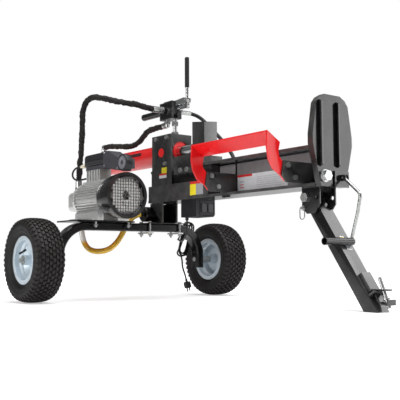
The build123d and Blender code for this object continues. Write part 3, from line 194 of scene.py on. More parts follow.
def sleeve_material():
    """Woven nylon sleeve: crossing diagonal strands on the hose's own UVs."""
    m = material("woven_nylon_sleeve", (0.011, 0.0085, 0.0075), 0.62, var=0.35, rvar=0.08, scale=160, spec=0.3)
    nt = m.node_tree
    n, k = nt.nodes, nt.links
    p = n["Principled BSDF"]
    uv = n.new("ShaderNodeTexCoord")
    waves = []
    for ang in (0.6, -0.6):
        mp = n.new("ShaderNodeMapping")
        mp.inputs["Rotation"].default_value = (0, 0, ang)
        w = n.new("ShaderNodeTexWave")
        w.inputs["Scale"].default_value = 9
        w.inputs["Distortion"].default_value = 0.6
        k.new(uv.outputs["UV"], mp.inputs["Vector"])
        k.new(mp.outputs["Vector"], w.inputs["Vector"])
        waves.append(w)
    mx = n.new("ShaderNodeMath")
    mx.operation = "MAXIMUM"
    k.new(waves[0].outputs["Fac"], mx.inputs[0])
    k.new(waves[1].outputs["Fac"], mx.inputs[1])
    b = n.new("ShaderNodeBump")
    b.inputs["Strength"].default_value = 0.55
    b.inputs["Distance"].default_value = 0.0008
    k.new(mx.outputs[0], b.inputs["Height"])
    k.new(b.outputs["Normal"], p.inputs["Normal"])
    return m


M["hose_sleeve"] = sleeve_material()


def oil_hose_material():
    """Clear hose, empty and milky down the first drop, amber with oil beyond, with a painted dark shade line along its
    middle where the surface faces sideways, painted highlight bands beside it and darker painted shade on its upper
    slope.
    """
    m = material("oil_filled_clear_hose", (0.86, 0.56, 0.06), 0.16, var=0.1, rvar=0.04, scale=45, coat=0.3)
    nt = m.node_tree
    n, k = nt.nodes, nt.links
    p = n["Principled BSDF"]
    amber = p.inputs["Base Color"].links[0].from_socket
    # painted light: the colour follows the surface normal's height, painted shade where the hose faces sideways,
    # painted highlights beside it, darker painted shade on the upper slope and a lighter underside
    geo = n.new("ShaderNodeNewGeometry")
    sep = n.new("ShaderNodeSeparateXYZ")
    k.new(geo.outputs["Normal"], sep.inputs[0])
    painted_light_by_facing = n.new("ShaderNodeMapRange")
    painted_light_by_facing.inputs["From Min"].default_value = -1
    k.new(sep.outputs["Z"], painted_light_by_facing.inputs["Value"])
    ramp = n.new("ShaderNodeValToRGB")
    els = ramp.color_ramp.elements
    els[0].position, els[0].color = 0.0, (1, 0.9, 0.7, 1)
    els[1].position, els[1].color = 1.0, (1, 0.75, 0.5, 1)
    for pos, c in ((0.42, (1, 0.95, 0.8, 1)), (0.5, (0.12, 0.08, 0.05, 1)), (0.58, (1, 0.9, 0.7, 1)), (0.82, (1, 0.45, 0.3, 1))):
        e = els.new(pos)
        e.color = c
    k.new(painted_light_by_facing.outputs["Result"], ramp.inputs["Fac"])
    mul = n.new("ShaderNodeMixRGB")
    mul.blend_type = "MULTIPLY"
    mul.inputs["Fac"].default_value = 0.85
    k.new(amber, mul.inputs["Color1"])
    k.new(ramp.outputs["Color"], mul.inputs["Color2"])
    tc = n.new("ShaderNodeTexCoord")
    pos = n.new("ShaderNodeSeparateXYZ")
    k.new(tc.outputs["Object"], pos.inputs[0])
    za = n.new("ShaderNodeMapRange")
    za.inputs["From Min"].default_value = 0.236
    za.inputs["From Max"].default_value = 0.250
    k.new(pos.outputs["Z"], za.inputs["Value"])
    xb = n.new("ShaderNodeMapRange")
    xb.inputs["From Min"].default_value = -0.480
    xb.inputs["From Max"].default_value = -0.472
    xb.inputs["To Min"].default_value = 1
    xb.inputs["To Max"].default_value = 0
    k.new(pos.outputs["X"], xb.inputs["Value"])
    both = n.new("ShaderNodeMath")
    both.operation = "MULTIPLY"
    k.new(za.outputs["Result"], both.inputs[0])
    k.new(xb.outputs["Result"], both.inputs[1])
    mix = n.new("ShaderNodeMixRGB")
    mix.inputs["Color2"].default_value = (0.74, 0.70, 0.66, 1)
    k.new(both.outputs[0], mix.inputs["Fac"])
    k.new(mul.outputs["Color"], mix.inputs["Color1"])
    k.new(mix.outputs["Color"], p.inputs["Base Color"])
    return m


M["clear_pvc"] = oil_hose_material()


# ------------------------------------------------------------ mesh helpers
def finish_mesh(name, bm, mat, body, replaces=None, sharp=40, mats=None):
    me = bpy.data.meshes.new(name)
    bmesh.ops.recalc_face_normals(bm, faces=bm.faces)
    bm.to_mesh(me)
    bm.free()
    for p in me.polygons:
        p.use_smooth = True
    me.set_sharp_from_angle(angle=math.radians(sharp))
    for m in (mats or [mat]):
        me.materials.append(m)
    ob = bpy.data.objects.new(name, me)
    COL.objects.link(ob)
    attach(ob, body)
    if replaces:
        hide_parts(*([replaces] if isinstance(replaces, str) else replaces))
    return ob


def refined(node, mat, width=0.8, seg=2, angle=34, extra=None, sharp=40):
    """The node's own shape with its long edges rounded over."""
    src = frame["nodes"][node]
    me = src.data.copy()
    me.transform(src.matrix_world)
    bm = bmesh.new()
    bm.from_mesh(me)
    bmesh.ops.remove_doubles(bm, verts=bm.verts, dist=1e-6)
    bmesh.ops.dissolve_limit(bm, angle_limit=math.radians(0.8), verts=bm.verts, edges=bm.edges)
    tmp_me = bpy.data.meshes.new(node + "_tmp")
    bm.to_mesh(tmp_me)
    bm.free()
    tmp = bpy.data.objects.new(node + "_tmp", tmp_me)
    COL.objects.link(tmp)
    md = tmp.modifiers.new("round", "BEVEL")
    md.width = width / 1000
    md.segments = seg
    md.limit_method = "ANGLE"
    md.angle_limit = math.radians(angle)
    md.use_clamp_overlap = True
    md.harden_normals = False
    dg = bpy.context.evaluated_depsgraph_get()
    out = bpy.data.meshes.new_from_object(tmp.evaluated_get(dg))
    bpy.data.objects.remove(tmp)
    bm = bmesh.new()
    bm.from_mesh(out)
    bpy.data.meshes.remove(out)
    if extra:
        extra(bm)
    ob = finish_mesh(node + "_shell", bm, mat, BODY_OF[node], node, sharp=sharp)
    wn_mod = ob.modifiers.new("flat_faces", "WEIGHTED_NORMAL")
    wn_mod.keep_sharp = True
    wn_mod.weight = 90
    return ob


def lathe(profile, centre, axis="Y", seg=96, closed=True, bm=None):
    """Revolve (radius, height) points about an axis through centre."""
    bm = bm or bmesh.new()
    rings = []
    for r, h in profile:
        ring = []
        for i in range(seg):
            a = 2 * math.pi * i / seg
            c, s = math.cos(a) * r / 1000, math.sin(a) * r / 1000
            v = {"Y": Vector((c, h / 1000, s)), "X": Vector((h / 1000, c, s)), "Z": Vector((c, s, h / 1000))}[axis]
            ring.append(bm.verts.new(centre + v))
        rings.append(ring)
    n = len(rings)
    for j in range(n if closed else n - 1):
        a, b = rings[j], rings[(j + 1) % n]
        for i in range(seg):
            bm.faces.new((a[i], a[(i + 1) % seg], b[(i + 1) % seg], b[i]))
    if not closed:
        bm.faces.new(rings[0])
        bm.faces.new(rings[-1])
    return bm


def hull_box(bm, pts_lo, pts_hi):
    """A block from two quads, base and top."""
    a = [bm.verts.new(p) for p in pts_lo]
    b = [bm.verts.new(p) for p in pts_hi]
    bm.faces.new(a)
    bm.faces.new(b)
    for i in range(4):
        bm.faces.new((a[i], a[(i + 1) % 4], b[(i + 1) % 4], b[i]))


def loft(bm, rings, cap=True):
    vs = [[bm.verts.new(p) for p in ring] for ring in rings]
    for a, b in zip(vs, vs[1:]):
        m = len(a)
        for i in range(m):
            bm.faces.new((a[i], a[(i + 1) % m], b[(i + 1) % m], b[i]))
    if cap:
        bm.faces.new(vs[0])
        bm.faces.new(vs[-1])


def nurbs(name, pts, bevel=0.0, res=10):
    cu = bpy.data.curves.new(name, "CURVE")
    cu.dimensions = "3D"
    sp = cu.splines.new("NURBS")
    sp.points.add(len(pts) - 1)
    for p, q in zip(sp.points, pts):
        v = L(*q)
        p.co = (v.x, v.y, v.z, 1)
    sp.order_u = 3
    sp.use_endpoint_u = True
    sp.resolution_u = res
    cu.bevel_depth = bevel / 1000
    cu.bevel_resolution = 6
    cu.use_fill_caps = True
    ob = bpy.data.objects.new(name, cu)
    COL.objects.link(ob)
    return ob


def path_of(curve):
    me = bpy.data.meshes.new_from_object(curve.evaluated_get(bpy.context.evaluated_depsgraph_get()))
    pts = [v.co.copy() for v in me.vertices]
    bpy.data.meshes.remove(me)
    return pts


def length_of(pts):
    return sum((b - a).length for a, b in zip(pts, pts[1:]))


def resample(pts, step):
    out, acc = [pts[0].copy()], 0.0
    for a, b in zip(pts, pts[1:]):
        d = (b - a).length
        while acc + d >= step:
            t = (step - acc) / d
            a = a.lerp(b, t)
            out.append(a.copy())
            d = (b - a).length
            acc = 0.0
        acc += d
    if (out[-1] - pts[-1]).length > step * 0.3:
        out.append(pts[-1].copy())
    else:
        out[-1] = pts[-1].copy()
    return out


def sleeved(name, pts, radius, body, node, seed):
    """A hose in a loose woven sleeve: wrinkled tube along the spline."""
    guide = nurbs(name + "_guide", pts)
    line = path_of(guide)
    bpy.data.objects.remove(guide)
    line = resample(line, 0.0035)
    bm = bmesh.new()
    uvl = bm.loops.layers.uv.new("UVMap")
    seg = 28
    t = (line[1] - line[0]).normalized()
    side = t.cross(Vector((0, 0, 1)))
    if side.length < 0.1:
        side = t.cross(Vector((1, 0, 0)))
    side.normalize()
    rings = []
    n = len(line)
    for i, c in enumerate(line):
        t = (line[min(i + 1, n - 1)] - line[max(i - 1, 0)]).normalized()
        side = (side - t * side.dot(t)).normalized()
        other = t.cross(side)
        d = i * 3.5
        fade = min(1.0, i / 5, (n - 1 - i) / 5)
        ring = []
        for j in range(seg):
            a = 2 * math.pi * j / seg
            f = noise.noise(Vector((d * 0.045 + seed, math.cos(a) * 0.8, math.sin(a) * 0.8)))
            g = noise.noise(Vector((d * 0.13 + seed * 2, math.cos(a) * 1.5, math.sin(a) * 1.5)))
            h = 1 - 2 * abs(noise.noise(Vector((d * 0.085 + seed * 3, math.cos(a + d * 0.02) * 0.7, math.sin(a + d * 0.02) * 0.7))))
            rr = radius * (0.94 + fade * (0.21 * f + 0.16 * g + 0.12 * (h - 0.6)))
            ring.append(bm.verts.new(c + (side * math.cos(a) + other * math.sin(a)) * rr / 1000))
        rings.append(ring)
    for i, (a, b) in enumerate(zip(rings, rings[1:])):
        for j in range(seg):
            f = bm.faces.new((a[j], a[(j + 1) % seg], b[(j + 1) % seg], b[j]))
            for lp, (u, v) in zip(f.loops, ((j, i), (j + 1, i), (j + 1, i + 1), (j, i + 1))):
                lp[uvl].uv = (u / seg * 3, v * 3.5 / 28)
    bm.faces.new(rings[0])
    bm.faces.new(rings[-1])
    ob = finish_mesh(name, bm, M["hose_sleeve"], body, node, sharp=70)
    return ob, line


def smooth_hose(name, pts, radius, mat, body, nodes):
    ob = nurbs(name, pts, radius)
    ob.data.materials.append(mat)
    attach(ob, body)
    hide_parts(*nodes)
    return ob


# ------------------------------------------------------- cords and hoses
HOSE_A = [
    (62, 61, 812), (68, 14, 814), (86, -32, 815), (84, -76, 816), (58, -112, 823), (8, -142, 840), (-50, -158, 857),
    (-112, -168, 850), (-136, -170, 800), (-139, -168, 738), (-152, -164, 664), (-170, -160, 590), (-182, -158, 538),
    (-186, -158, 505),
]
HOSE_B = [
    (28, 146, 751), (-30, 146, 750), (-84, 145, 748), (-126, 142, 728), (-165, 140, 700), (-215, 139, 692),
    (-272, 138, 695), (-338, 140, 704), (-396, 142, 712), (-438, 145, 716), (-474, 147, 716),
]
HOSE_D = [
    (100, 235, 806), (104, 258, 803), (120, 280, 788), (150, 291, 758), (195, 294, 720), (245, 292, 680),
    (295, 287, 638), (340, 280, 592), (372, 270, 543), (388, 257, 500), (393, 242, 472), (393, 226, 456),
]
SUCTION = [
    (-165, -158, 362), (-164, -158, 318), (-156, -157, 272), (-137, -155, 232), (-106, -148, 206), (-76, -122, 198),
    (-58, -84, 206), (-52, -50, 232), (-50, -24, 268), (-46, -4, 306), (-36, 12, 338), (-24, 32, 356), (-19, 52, 361),
]
MOTOR_CABLE = [
    (-130, -178, 562), (-148, -182, 562), (-168, -188, 556), (-181, -192, 540), (-179, -192, 522), (-163, -189, 509),
    (-138, -184, 505), (-108, -178, 506), (-78, -176, 508),
]
CORD_OUT = [
    (232, 118, 325), (232, 119, 305), (222, 124, 280), (196, 136, 260), (158, 154, 246), (112, 178, 240),
    (66, 204, 244), (24, 228, 252), (-14, 250, 254), (-38, 270, 252),
]
CORD_END = [(-48, 300, 160), (-48, 300, 138), (-48, 306, 116), (-48, 316, 95), (-48, 322, 74)]

hose_a, line_a = sleeved("pressure_hose_sleeved", HOSE_A, 13, "frame", "pressure_hose", 3.1)
hose_b, line_b = sleeved("retract_hose_sleeved", HOSE_B, 13, "frame", "retract_hose", 11.7)


def plain_cord(name, pts, d, mat, slot, nodes, **kw):
    ob = smooth_hose(name, pts, d / 2, mat, "frame", nodes)
    probe = nurbs(name + "_probe", pts)
    ln = length_of(path_of(probe))
    bpy.data.objects.remove(probe)
    return ob, ln


plain_cord("return_hose_line", HOSE_D, 16, M["rubber"], "rubber", ["return_hose"], far_end="object", stiffness="stiff", lay="loose")
plain_cord("suction_hose_line", SUCTION, 24, M["clear_pvc"], "clear_pvc", ["suction_hose"], far_end="object", stiffness="medium", lay="hanging")
plain_cord("motor_cable_line", MOTOR_CABLE, 8, M["rubber"], "rubber", ["motor_cable"], far_end="object", stiffness="medium", lay="loose")

hank = []
TILT = {-55.5: 2.0, -47.5: -3.0, -39.5: 1.0, -52: -5.0, -43.5: 4.0}
TURNS = [(26.5, 57, -55.5), (24, 55, -47.5), (26, 54, -39.5), (17.5, 51, -52), (16, 53, -43.5)]
for w, h, x in TURNS:
    for q in range(16):
        a = q / 16
        if a < 0.25:
            y, z = -w, -h + (a / 0.25) * 2 * h
        elif a < 0.5:
            t = math.pi * (a - 0.25) / 0.25
            y, z = -w * math.cos(t), h + w * math.sin(t)
        elif a < 0.75:
            y, z = w, h - ((a - 0.5) / 0.25) * 2 * h
        else:
            t = math.pi * (a - 0.75) / 0.25
            y, z = w * math.cos(t), -h - w * math.sin(t)
        y, z = y + RNG.uniform(-0.9, 0.9), z + RNG.uniform(-0.9, 0.9)
        lean = math.radians(18 + TILT[x])
        hank.append((x + RNG.uniform(-0.4, 0.4), 318 + y * math.cos(lean) + z * math.sin(lean), 257 + z * math.cos(lean) - y * math.sin(lean)))
hank = hank[3:]
plug = frame["nodes"]["mains_plug"]
cord, cord_len = plain_cord(
    "mains_cord_line", CORD_OUT + hank + CORD_END, 7.2, M["rubber"], "rubber", ["power_cord", "cord_hank", "cord_tail"],
    far_end="plug", stiffness="medium", lay="coiled", with_pieces=[plug],
)
print("cord lengths", [round(x, 3) for x in (length_of(line_a), length_of(line_b), cord_len)])

# ------------------------------------------------------------------ tyres
LUGS = 46


def tread_r(y):
    t = abs(y) / 62.0
    return 164.6 - 5.2 * (min(t, 0.76) / 0.76) ** 2.6 - (0 if t < 0.76 else 9 * (t - 0.76) / 0.24)


def tyre(name, node, cy, body):
    c = L(0, cy, 165)
    prof = [(80.4, 41.5), (94.6, 41.6), (97.5, 45.2), (99.5, 46.2), (101.5, 45.6), (104, 49), (112, 55.4), (114, 56.6), (116, 56.4),
            (124, 58.8), (131, 60.3), (138, 60.2), (145, 57.6), (151, 53), (155, 47), (156.6, 36), (157.8, 24), (158.4, 10), (158.5, 0)]
    inner = [(80.4, 26), (96, 33), (118, 50), (138, 51), (149, 43), (152.5, 20), (153, 0)]
    ring = prof + [(r, -y) for r, y in reversed(prof[:-1])] + [(r, -y) for r, y in inner] + [(r, y) for r, y in reversed(inner[:-1])]
    bm = lathe(ring, c, "Y", 120)
    rows = [(-49.5, 10.5, 0.6), (-36, 11.5, -0.35), (-21.5, 12, 0.35), (-7, 12, -0.3), (7, 12, 0.3), (21.5, 12, -0.35), (36, 11.5, 0.35), (49.5, 10.5, -0.6)]
    for ri, (y0, w, skew) in enumerate(rows):
        for i in range(LUGS):
            a = 2 * math.pi * (i + (0.5 if ri % 2 else 0)) / LUGS
            la = 15.2 if abs(y0) < 45 else 13.0
            lo, hi = [], []
            for k, (su, sv) in enumerate(((-1, -1), (1, -1), (1, 1), (-1, 1))):
                for target, grow, lift in ((lo, 1.0, -3.0), (hi, 0.80, 0.0)):
                    u = su * la / 2 * grow + skew * sv * 4.0
                    y = y0 + sv * w / 2 * grow
                    r = (tread_r(y) if target is hi else tread_r(y) - 8.4)
                    if target is lo:
                        r = min(r, 157.0)
                    th = a + u / 165
                    target.append(c + Vector((math.cos(th) * r, y, math.sin(th) * r)) / 1000)
            hull_box(bm, lo, hi)
    for s in (-1, 1):
        for i in range(LUGS):
            a = 2 * math.pi * i / LUGS
            lo, hi = [], []
            for su, (r_in, y_in, r_out, y_out) in ((-1, (141, 57.2, 154, 50)), (1, (141, 57.2, 154, 50))):
                pass
            pts = [(-5.2, 140.5), (5.2, 140.5), (6.4, 152.5), (-6.4, 152.5)]
            for u, r in pts:
                th = a + u / 150
                yb = 56.5 if r < 145 else 49
                yt = 61.2 if r < 145 else 56.2
                lo.append(c + Vector((math.cos(th) * r, s * yb, math.sin(th) * r)) / 1000)
                rr = r + (0.6 if r < 145 else 2.2)
                th2 = a + u * 0.84 / 150
                hi.append(c + Vector((math.cos(th2) * rr, s * yt, math.sin(th2) * rr)) / 1000)
            hull_box(bm, lo, hi)
    return finish_mesh(name, bm, M["tyre_rubber"], body, node, sharp=28)


tyre("left_tyre_treaded", "left_tyre", -454, "left_wheel")
tyre("right_tyre_treaded", "right_tyre", 454, "right_wheel")

for side, cy, node, body in ((-1, -454, "left_rim", "left_wheel"), (1, 454, "right_rim", "right_wheel")):
    refined(node, M["rim_grey"], 1.2, 3, 20)
    # valve stem
    c = L(0, cy, 165)
    bm = bmesh.new()
    lathe([(4.3, -3), (4.4, 8), (3.5, 9), (3.5, 20), (4.3, 20.5), (4.5, 27), (3.5, 28.5)], Vector((0, 0, 0)), "Z", 20, False, bm)
    a = math.radians(118 if side < 0 else 60)
    r0 = 44
    rotm = Matrix.Rotation(-math.radians(121) * side, 4, "X")
    tilt = Matrix.Rotation(math.radians(18), 4, "Z")
    bm.transform(Matrix.Translation(c + Vector((math.cos(a) * r0, side * 26, math.sin(a) * r0)) / 1000) @ rotm)
    finish_mesh(f"valve_stem_{body}", bm, M["rubber"], body)

# --------------------------------------------------------- refined CAD set
BEVELS = {
    "axle_frame": 1.0, "beam": 0.8, "tank_plates": 1.0, "pedestal": 0.8, "motor_plate": 0.8, "tower": 1.2, "slider": 1.5, "slider_bolts": 0.8,
    "wedge": 1.0, "end_plate": 1.2, "stay_handle": 0.6, "cradle_brackets": 0.7, "log_cradle": 0.8, "stand_leg": 1.4, "hitch_bracket": 0.8,
    "lock_pin": 0.5, "pivot_pins": 1.0, "frame_bolts": 0.8, "switch_box": 1.6, "start_button": 0.5, "stop_button": 0.5, "motor_body": 0.6,
    "motor_shields": 1.6, "fan_cowl": 0.5, "terminal_housing": 2.0, "pump_body": 1.5, "valve_body": 1.4, "lever_bracket": 0.6,
    "control_lever": 0.7, "cylinder_heads": 1.5, "cylinder_barrel": 0.6, "trunnion_pins": 1.2, "hose_fittings": 0.7, "suction_filter": 1.0,
    "stub_axles": 0.6, "hitch_pin": 0.5, "lever_grip": 0.8, "cooling_fan": 0.4, "spool": 0.4, "mains_plug": 1.5,
}
SPECIAL = {"cooling_fan": "fan_white", "trunnion_pins": "red_paint", "stay_handle": "stay_steel", "start_button": "button_grey",
           "stop_button": "button_grey", "control_lever": "stay_steel"}
for node, width in BEVELS.items():
    if node == "mains_plug":
        continue
    refined(node, M[SPECIAL.get(node, SLOT_OF[node])], width, angle=15 if node == "wedge" else 34, sharp=12 if node == "wedge" else 40)
DONE = set(BEVELS) | {"left_tyre", "right_tyre", "left_rim", "right_rim", "pressure_hose", "retract_hose", "return_hose", "suction_hose",
                      "motor_cable", "power_cord", "cord_tail", "cord_hank", "capacitor_cover"}
for node, ob in frame["nodes"].items():
    if node not in DONE or node == "mains_plug":
        ob.data.materials.clear()
        ob.data.materials.append(M[SLOT_OF[node]])

# ------------------------------------------------ capacitor cover, ribbed
bm = bmesh.new()
rings = []
cx, cz = -162.0, 580.0
for x, k in [(-87.8, 0.80), (-87, 0.86), (-84, 0.93), (-79, 0.975), (-71, 0.995), (-30, 1), (20, 1), (60, 1), (74.8, 0.99)]:
    ring = []
    for j in range(144):
        a = 2 * math.pi * j / 144
        e = 0.55
        cc, ss = math.cos(a), math.sin(a)
        y = 27.0 * math.copysign(abs(cc) ** e, cc)
        z = 26.0 * math.copysign(abs(ss) ** e, ss)
        rib = 1.0 if ss < -0.55 else (1.0 - 0.05 * (0.5 + 0.5 * math.cos(a * 26)) ** 2)
        ring.append(L(x, cx + y * k * rib, cz + z * k * rib))
    rings.append(ring)
loft(bm, rings)
finish_mesh("capacitor_cover_ribbed", bm, M["black_plastic"], "frame", "capacitor_cover", sharp=50)

# cream gland of the motor lead, in three steps
bm = bmesh.new()
lathe([(8.6, -88.5), (9.4, -89.3), (9.4, -96), (8.6, -96.8)], L(0, -178, 562), "X", 6, False, bm)
lathe([(7.2, -96.8), (8.8, -99), (8.8, -112), (7.6, -120), (5.2, -129.5)], L(0, -178, 562), "X", 32, False, bm)
finish_mesh("gland_nuts", bm, M["gland_cream"], "frame")

# round cover at the housing's front end: black drum, grey face with a dimple
bm = lathe([(33.0, -166.5), (33.4, -170), (33.4, -190.5), (32.2, -194.6), (29.4, -195.8), (27.2, -194.9), (26.6, -193.4), (26.6, -180), (29, -168)], L(227, 0, 544), "Y", 96)
finish_mesh("disc_drum", bm, M["black_plastic"], "frame", sharp=55)
bm = bmesh.new()
lathe([(26.4, -193.0), (25.4, -194.6), (18, -195.4), (11.5, -195.5), (9.6, -194.6), (8.6, -190.5), (4.6, -189.6), (3.6, -192), (1.2, -192.4)], L(227, 0, 544), "Y", 72, False, bm)
finish_mesh("disc_face", bm, M["disc_grey"], "frame", sharp=50)

# moulded ridges and screws of the terminal housing
for k, (xa, xb, z) in enumerate(((80, 112, 592), (80, 150, 570))):
    bm = bmesh.new()
    loft(bm, [[L(x, -190 - w * (0.4 if x in (xa, xb) else 1), z - (x - xa) * 0.16 + h) for w, h in ((0, -1.4), (1.3, -0.8), (1.6, 0), (1.3, 0.8), (0, 1.4))] for x in (xa, xa + 2, (xa + xb) / 2, xb - 2, xb)])
    finish_mesh(f"housing_ridge_{k}", bm, M["grey_plastic"], "frame")
for k, (x, z) in enumerate(((84, 546), (84, 597), (186, 526))):
    bm = bmesh.new()
    lathe([(4.0, -189.5), (4.0, -191.2), (3.2, -192.4), (1.0, -192.8)], L(x, 0, z), "Y", 20, False, bm)
    finish_mesh(f"housing_screw_{k}", bm, M["zinc"], "frame")

# ----------------------------------------------------------------- labels
def label(name, origin, u, v, w, h, bands, body, lift=0.35, rad=2.0):
    """Thin film on a flat face: bands are (from, to, material) across its height, 0 at the bottom."""
    bm = bmesh.new()
    n = u.cross(v).normalized()
    mats = []
    for lo, hi, mt in bands:
        if mt not in mats:
            mats.append(mt)
        x0, x1, z0, z1 = 0, w, lo * h, hi * h
        base = [origin + (u * a + v * b) / 1000 for a, b in ((x0, z0), (x1, z0), (x1, z1), (x0, z1))]
        top = [p + n * lift / 1000 for p in base]
        a = [bm.verts.new(p) for p in base]
        b = [bm.verts.new(p) for p in top]
        idx = mats.index(mt)
        fs = [bm.faces.new(b)] + [bm.faces.new((a[i], a[(i + 1) % 4], b[(i + 1) % 4], b[i])) for i in range(4)] + [bm.faces.new(a)]
        for f in fs:
            f.material_index = idx
    return finish_mesh(name, bm, None, body, mats=[M[m] for m in mats])


EX, EY, EZ = Vector((1, 0, 0)), Vector((0, 1, 0)), Vector((0, 0, 1))
label("tower_label_lower", L(68, 92.5, 511), EX, EZ, 54, 20, [(0, 0.62, "label_white"), (0.62, 1, "label_red")], "frame")
label("tower_label_upper", L(86, 92.5, 531.3), EX, EZ, 38, 25, [(0, 1, "label_yellow")], "frame")
label("tank_label_a", L(296, 86, 423), EX, EZ, 39, 55, [(0, 0.8, "label_yellow"), (0.8, 1, "label_red")], "frame")
label("tank_label_b", L(335.3, 86, 423), EX, EZ, 46, 55, [(0, 0.8, "label_grey"), (0.8, 1, "label_red")], "frame")
# thin grey layers over the beam web's near face, lighter than the black paint around them
label("web_grey_layer_a", L(524, 143, 423), EX, EZ, 397, 110, [(0, 1, "web_grey_tone")], "frame", lift=0.2)
label("web_grey_layer_b", L(418, 143, 423), EX, EZ, 95, 110, [(0, 1, "web_grey_tone")], "frame", lift=0.2)
label("web_grey_layer_c", L(934, 143, 423), EX, EZ, 50, 110, [(0, 1, "web_grey_tone")], "frame", lift=0.2)
label("beam_label", L(526, 142.8, 427), EX, EZ, 272, 60, [(0, 1, "label_silver")], "frame", lift=0.3)
label("beam_label_red", L(526, 142.5, 478), EX, EZ, 84, 9, [(0, 1, "label_red")], "frame", lift=0.2)
for k in range(6):
    label(f"beam_label_line_{k}", L(634, 142.5, 434 + 7.4 * k), EX, EZ, 150 - (k % 3) * 16, 1.1, [(0, 1, "label_grey")], "frame", lift=0.2)
for k in range(3):
    label(f"beam_label_mark_{k}", L(540, 142.5, 436 + 11 * k), EX, EZ, 22, 3.2, [(0, 1, "label_red" if k < 2 else "label_grey")], "frame", lift=0.2)


def curved_strip(name, centre, radius, x0, x1, a0, a1, mat, lift=0.35):
    """Film on a tube that runs along X: angles in degrees, 0 facing -Y, 90 facing up."""
    bm = bmesh.new()
    n = 14
    rows = []
    for x in (x0, x1):
        for rr in (radius + 0.02, radius + lift):
            rows.append([bm.verts.new(centre + Vector((x / 1000, -math.cos(math.radians(a)) * rr / 1000, math.sin(math.radians(a)) * rr / 1000)))
                         for a in (a0 + (a1 - a0) * i / n for i in range(n + 1))])
    b0, t0, b1, t1 = rows
    for i in range(n):
        bm.faces.new((t0[i], t0[i + 1], t1[i + 1], t1[i]))
        bm.faces.new((b0[i], b1[i], b1[i + 1], b0[i + 1]))
        bm.faces.new((b0[i], b0[i + 1], t0[i + 1], t0[i]))
        bm.faces.new((b1[i], t1[i], t1[i + 1], b1[i + 1]))
    for e in (0, n):
        bm.faces.new((b0[e], t0[e], t1[e], b1[e]))
    return finish_mesh(name, bm, M[mat], "frame", sharp=50)


# painted shade: a dark red strip along the red cylinder's near upper side, where its glossy paint would mirror the dark
# surroundings
curved_strip("cylinder_painted_shade", L(0, 147, 621), 45, -250, -92, 8, 30, "painted_shade_red")
LEG_D, LEG_N = Vector((0.568, 0, -0.823)), Vector((0.823, 0, 0.568))


def on_leg(s, y):
    return L(921, 0, 374) + (LEG_N * 22 + LEG_D * s) / 1000 + Vector((0, y / 1000, 0))


label("leg_label_a", on_leg(188, 137), EY, -LEG_D, 20, 11, [(0, 0.5, "label_yellow"), (0.5, 1, "label_white")], "leg")
label("leg_label_b", on_leg(232, 142), EY, -LEG_D, 26, 32, [(0, 0.12, "label_white"), (0.12, 0.88, "label_grey"), (0.88, 1, "label_white")], "leg")
label("switch_mark", L(321.2, 130, 382), EY, EZ, 9, 9, [(0, 1, "label_white")], "frame", lift=0.25)

# ------------------------------------------------------------ weld seams
def weld(name, a, b, r=3.2, body="frame"):
    bm = bmesh.new()
    d = (b - a)
    n = max(6, int(d.length / 0.004))
    t = d.normalized()
    s = t.cross(Vector((0.3, 0.5, 0.8))).normalized()
    o = t.cross(s)
    rings = []
    for i in range(n + 1):
        f = i / n
        rr = r * (0.8 + 0.25 * abs(math.sin(i * 1.57)) + RNG.uniform(-0.05, 0.05)) * (0.6 if i in (0, n) else 1)
        c = a.lerp(b, f)
        rings.append([c + (s * math.cos(2 * math.pi * j / 10) + o * math.sin(2 * math.pi * j / 10)) * rr / 1000 for j in range(10)])
    loft(bm, rings)
    return finish_mesh(name, bm, M["weld"], body, sharp=60)


weld("weld_beam_end_top", L(986, 90, 548), L(986, 204, 548))
weld("weld_beam_end_near", L(986, 86, 408), L(986, 86, 419))
weld("weld_clevis_near", L(906, 106, 408), L(984, 106, 408))
weld("weld_clevis_far", L(906, 188, 408), L(984, 188, 408))
weld("weld_tower_front", L(155, 99, 548.5), L(155, 196, 548.5))
weld("weld_pedestal_near", L(-18, 106, 323), L(68, 106, 323))
weld("weld_grip_a", L(1058, 119, 228), L(1058, 170, 228), 2.6, "leg")

# -------------------------------------------------------- floor and light
floor_me = bpy.data.meshes.new("floor")
bm = bmesh.new()
for x, y in ((-14, -14), (14, -14), (14, 14), (-14, 14)):
    bm.verts.new((x, y, -0.0006))
bm.faces.new(bm.verts)
bm.to_mesh(floor_me)
bm.free()
floor = bpy.data.objects.new("floor", floor_me)
COL.objects.link(floor)
floor_mat = material("pale_floor", (0.90, 0.90, 0.90), 0.5, var=0.01, rvar=0.04, scale=3)
floor_mat.node_tree.nodes["Principled BSDF"].inputs["Emission Color"].default_value = (1, 1, 1, 1)
fl_n, fl_k = floor_mat.node_tree.nodes, floor_mat.node_tree.links
fl_tc = fl_n.new("ShaderNodeTexCoord")
fl_len = fl_n.new("ShaderNodeVectorMath")
fl_len.operation = "LENGTH"
fl_r = fl_n.new("ShaderNodeMapRange")
for key, val in (("From Min", 0.9), ("From Max", 2.6), ("To Min", 0.42), ("To Max", 1.02)):
    fl_r.inputs[key].default_value = val
fl_k.new(fl_tc.outputs["Object"], fl_len.inputs[0])
fl_k.new(fl_len.outputs["Value"], fl_r.inputs["Value"])
fl_lp = fl_n.new("ShaderNodeLightPath")
fl_dim = fl_n.new("ShaderNodeMath")
fl_dim.operation = "MULTIPLY_ADD"
fl_dim.inputs[1].default_value = 0.7
fl_dim.inputs[2].default_value = 0.3
fl_mul = fl_n.new("ShaderNodeMath")
fl_mul.operation = "MULTIPLY"
fl_k.new(fl_lp.outputs["Is Camera Ray"], fl_dim.inputs[0])
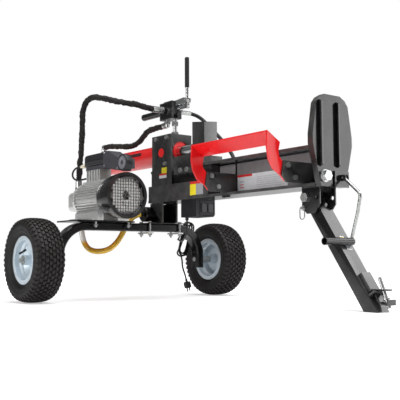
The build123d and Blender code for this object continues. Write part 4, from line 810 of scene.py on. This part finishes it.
fl_k.new(fl_r.outputs["Result"], fl_mul.inputs[0])
fl_k.new(fl_dim.outputs[0], fl_mul.inputs[1])
fl_k.new(fl_mul.outputs[0], fl_n["Principled BSDF"].inputs["Emission Strength"])
floor_me.materials.append(floor_mat)


def area(name, loc, target, size, power, size_y=None, color=(1, 1, 1)):
    ld = bpy.data.lights.new(name, "AREA")
    ld.energy = power
    ld.color = color
    ld.shape = "RECTANGLE"
    ld.size = size
    ld.size_y = size_y or size
    ob = bpy.data.objects.new(name, ld)
    ob.location = loc
    ob.rotation_euler = (Vector(target) - Vector(loc)).to_track_quat("-Z", "Y").to_euler()
    COL.objects.link(ob)
    return ob


area("top_softbox", (0.1, -0.3, 3.6), (0, 0, 0.3), 3.0, 122)
area("key_right_high", (2.8, 0.4, 3.3), (0.2, 0, 0.4), 1.6, 80)
area("plate_panel", (7.3, 7.6, 1.5), (0.66, 0.15, 0.6), 2.0, 105, 3.4)
area("rear_high", (1.6, 3.2, 2.7), (0.7, 0.15, 0.2), 1.5, 34)
area("front_panel", (-0.35, -4.1, 1.2), (-0.1, 0.1, 0.55), 1.5, 58, 1.4)
area("left_strip", (-4.2, 0.35, 1.1), (-0.3, -0.1, 0.5), 0.6, 10, 1.5)

world = bpy.data.worlds.new("studio")
bpy.context.scene.world = world
world.use_nodes = True
wn, wk = world.node_tree.nodes, world.node_tree.links
bgn = wn["Background"]
bgn.inputs["Color"].default_value = (1, 1, 1, 1)
bgn.inputs["Strength"].default_value = 0.16
bg2 = wn.new("ShaderNodeBackground")
bg2.inputs["Color"].default_value = (1, 1, 1, 1)
bg2.inputs["Strength"].default_value = 1.0
lp = wn.new("ShaderNodeLightPath")
mixw = wn.new("ShaderNodeMixShader")
wk.new(lp.outputs["Is Camera Ray"], mixw.inputs["Fac"])
wk.new(bgn.outputs[0], mixw.inputs[1])
wk.new(bg2.outputs[0], mixw.inputs[2])
wk.new(mixw.outputs[0], wn["World Output"].inputs["Surface"])
bpy.context.scene.view_settings.view_transform = "Standard"
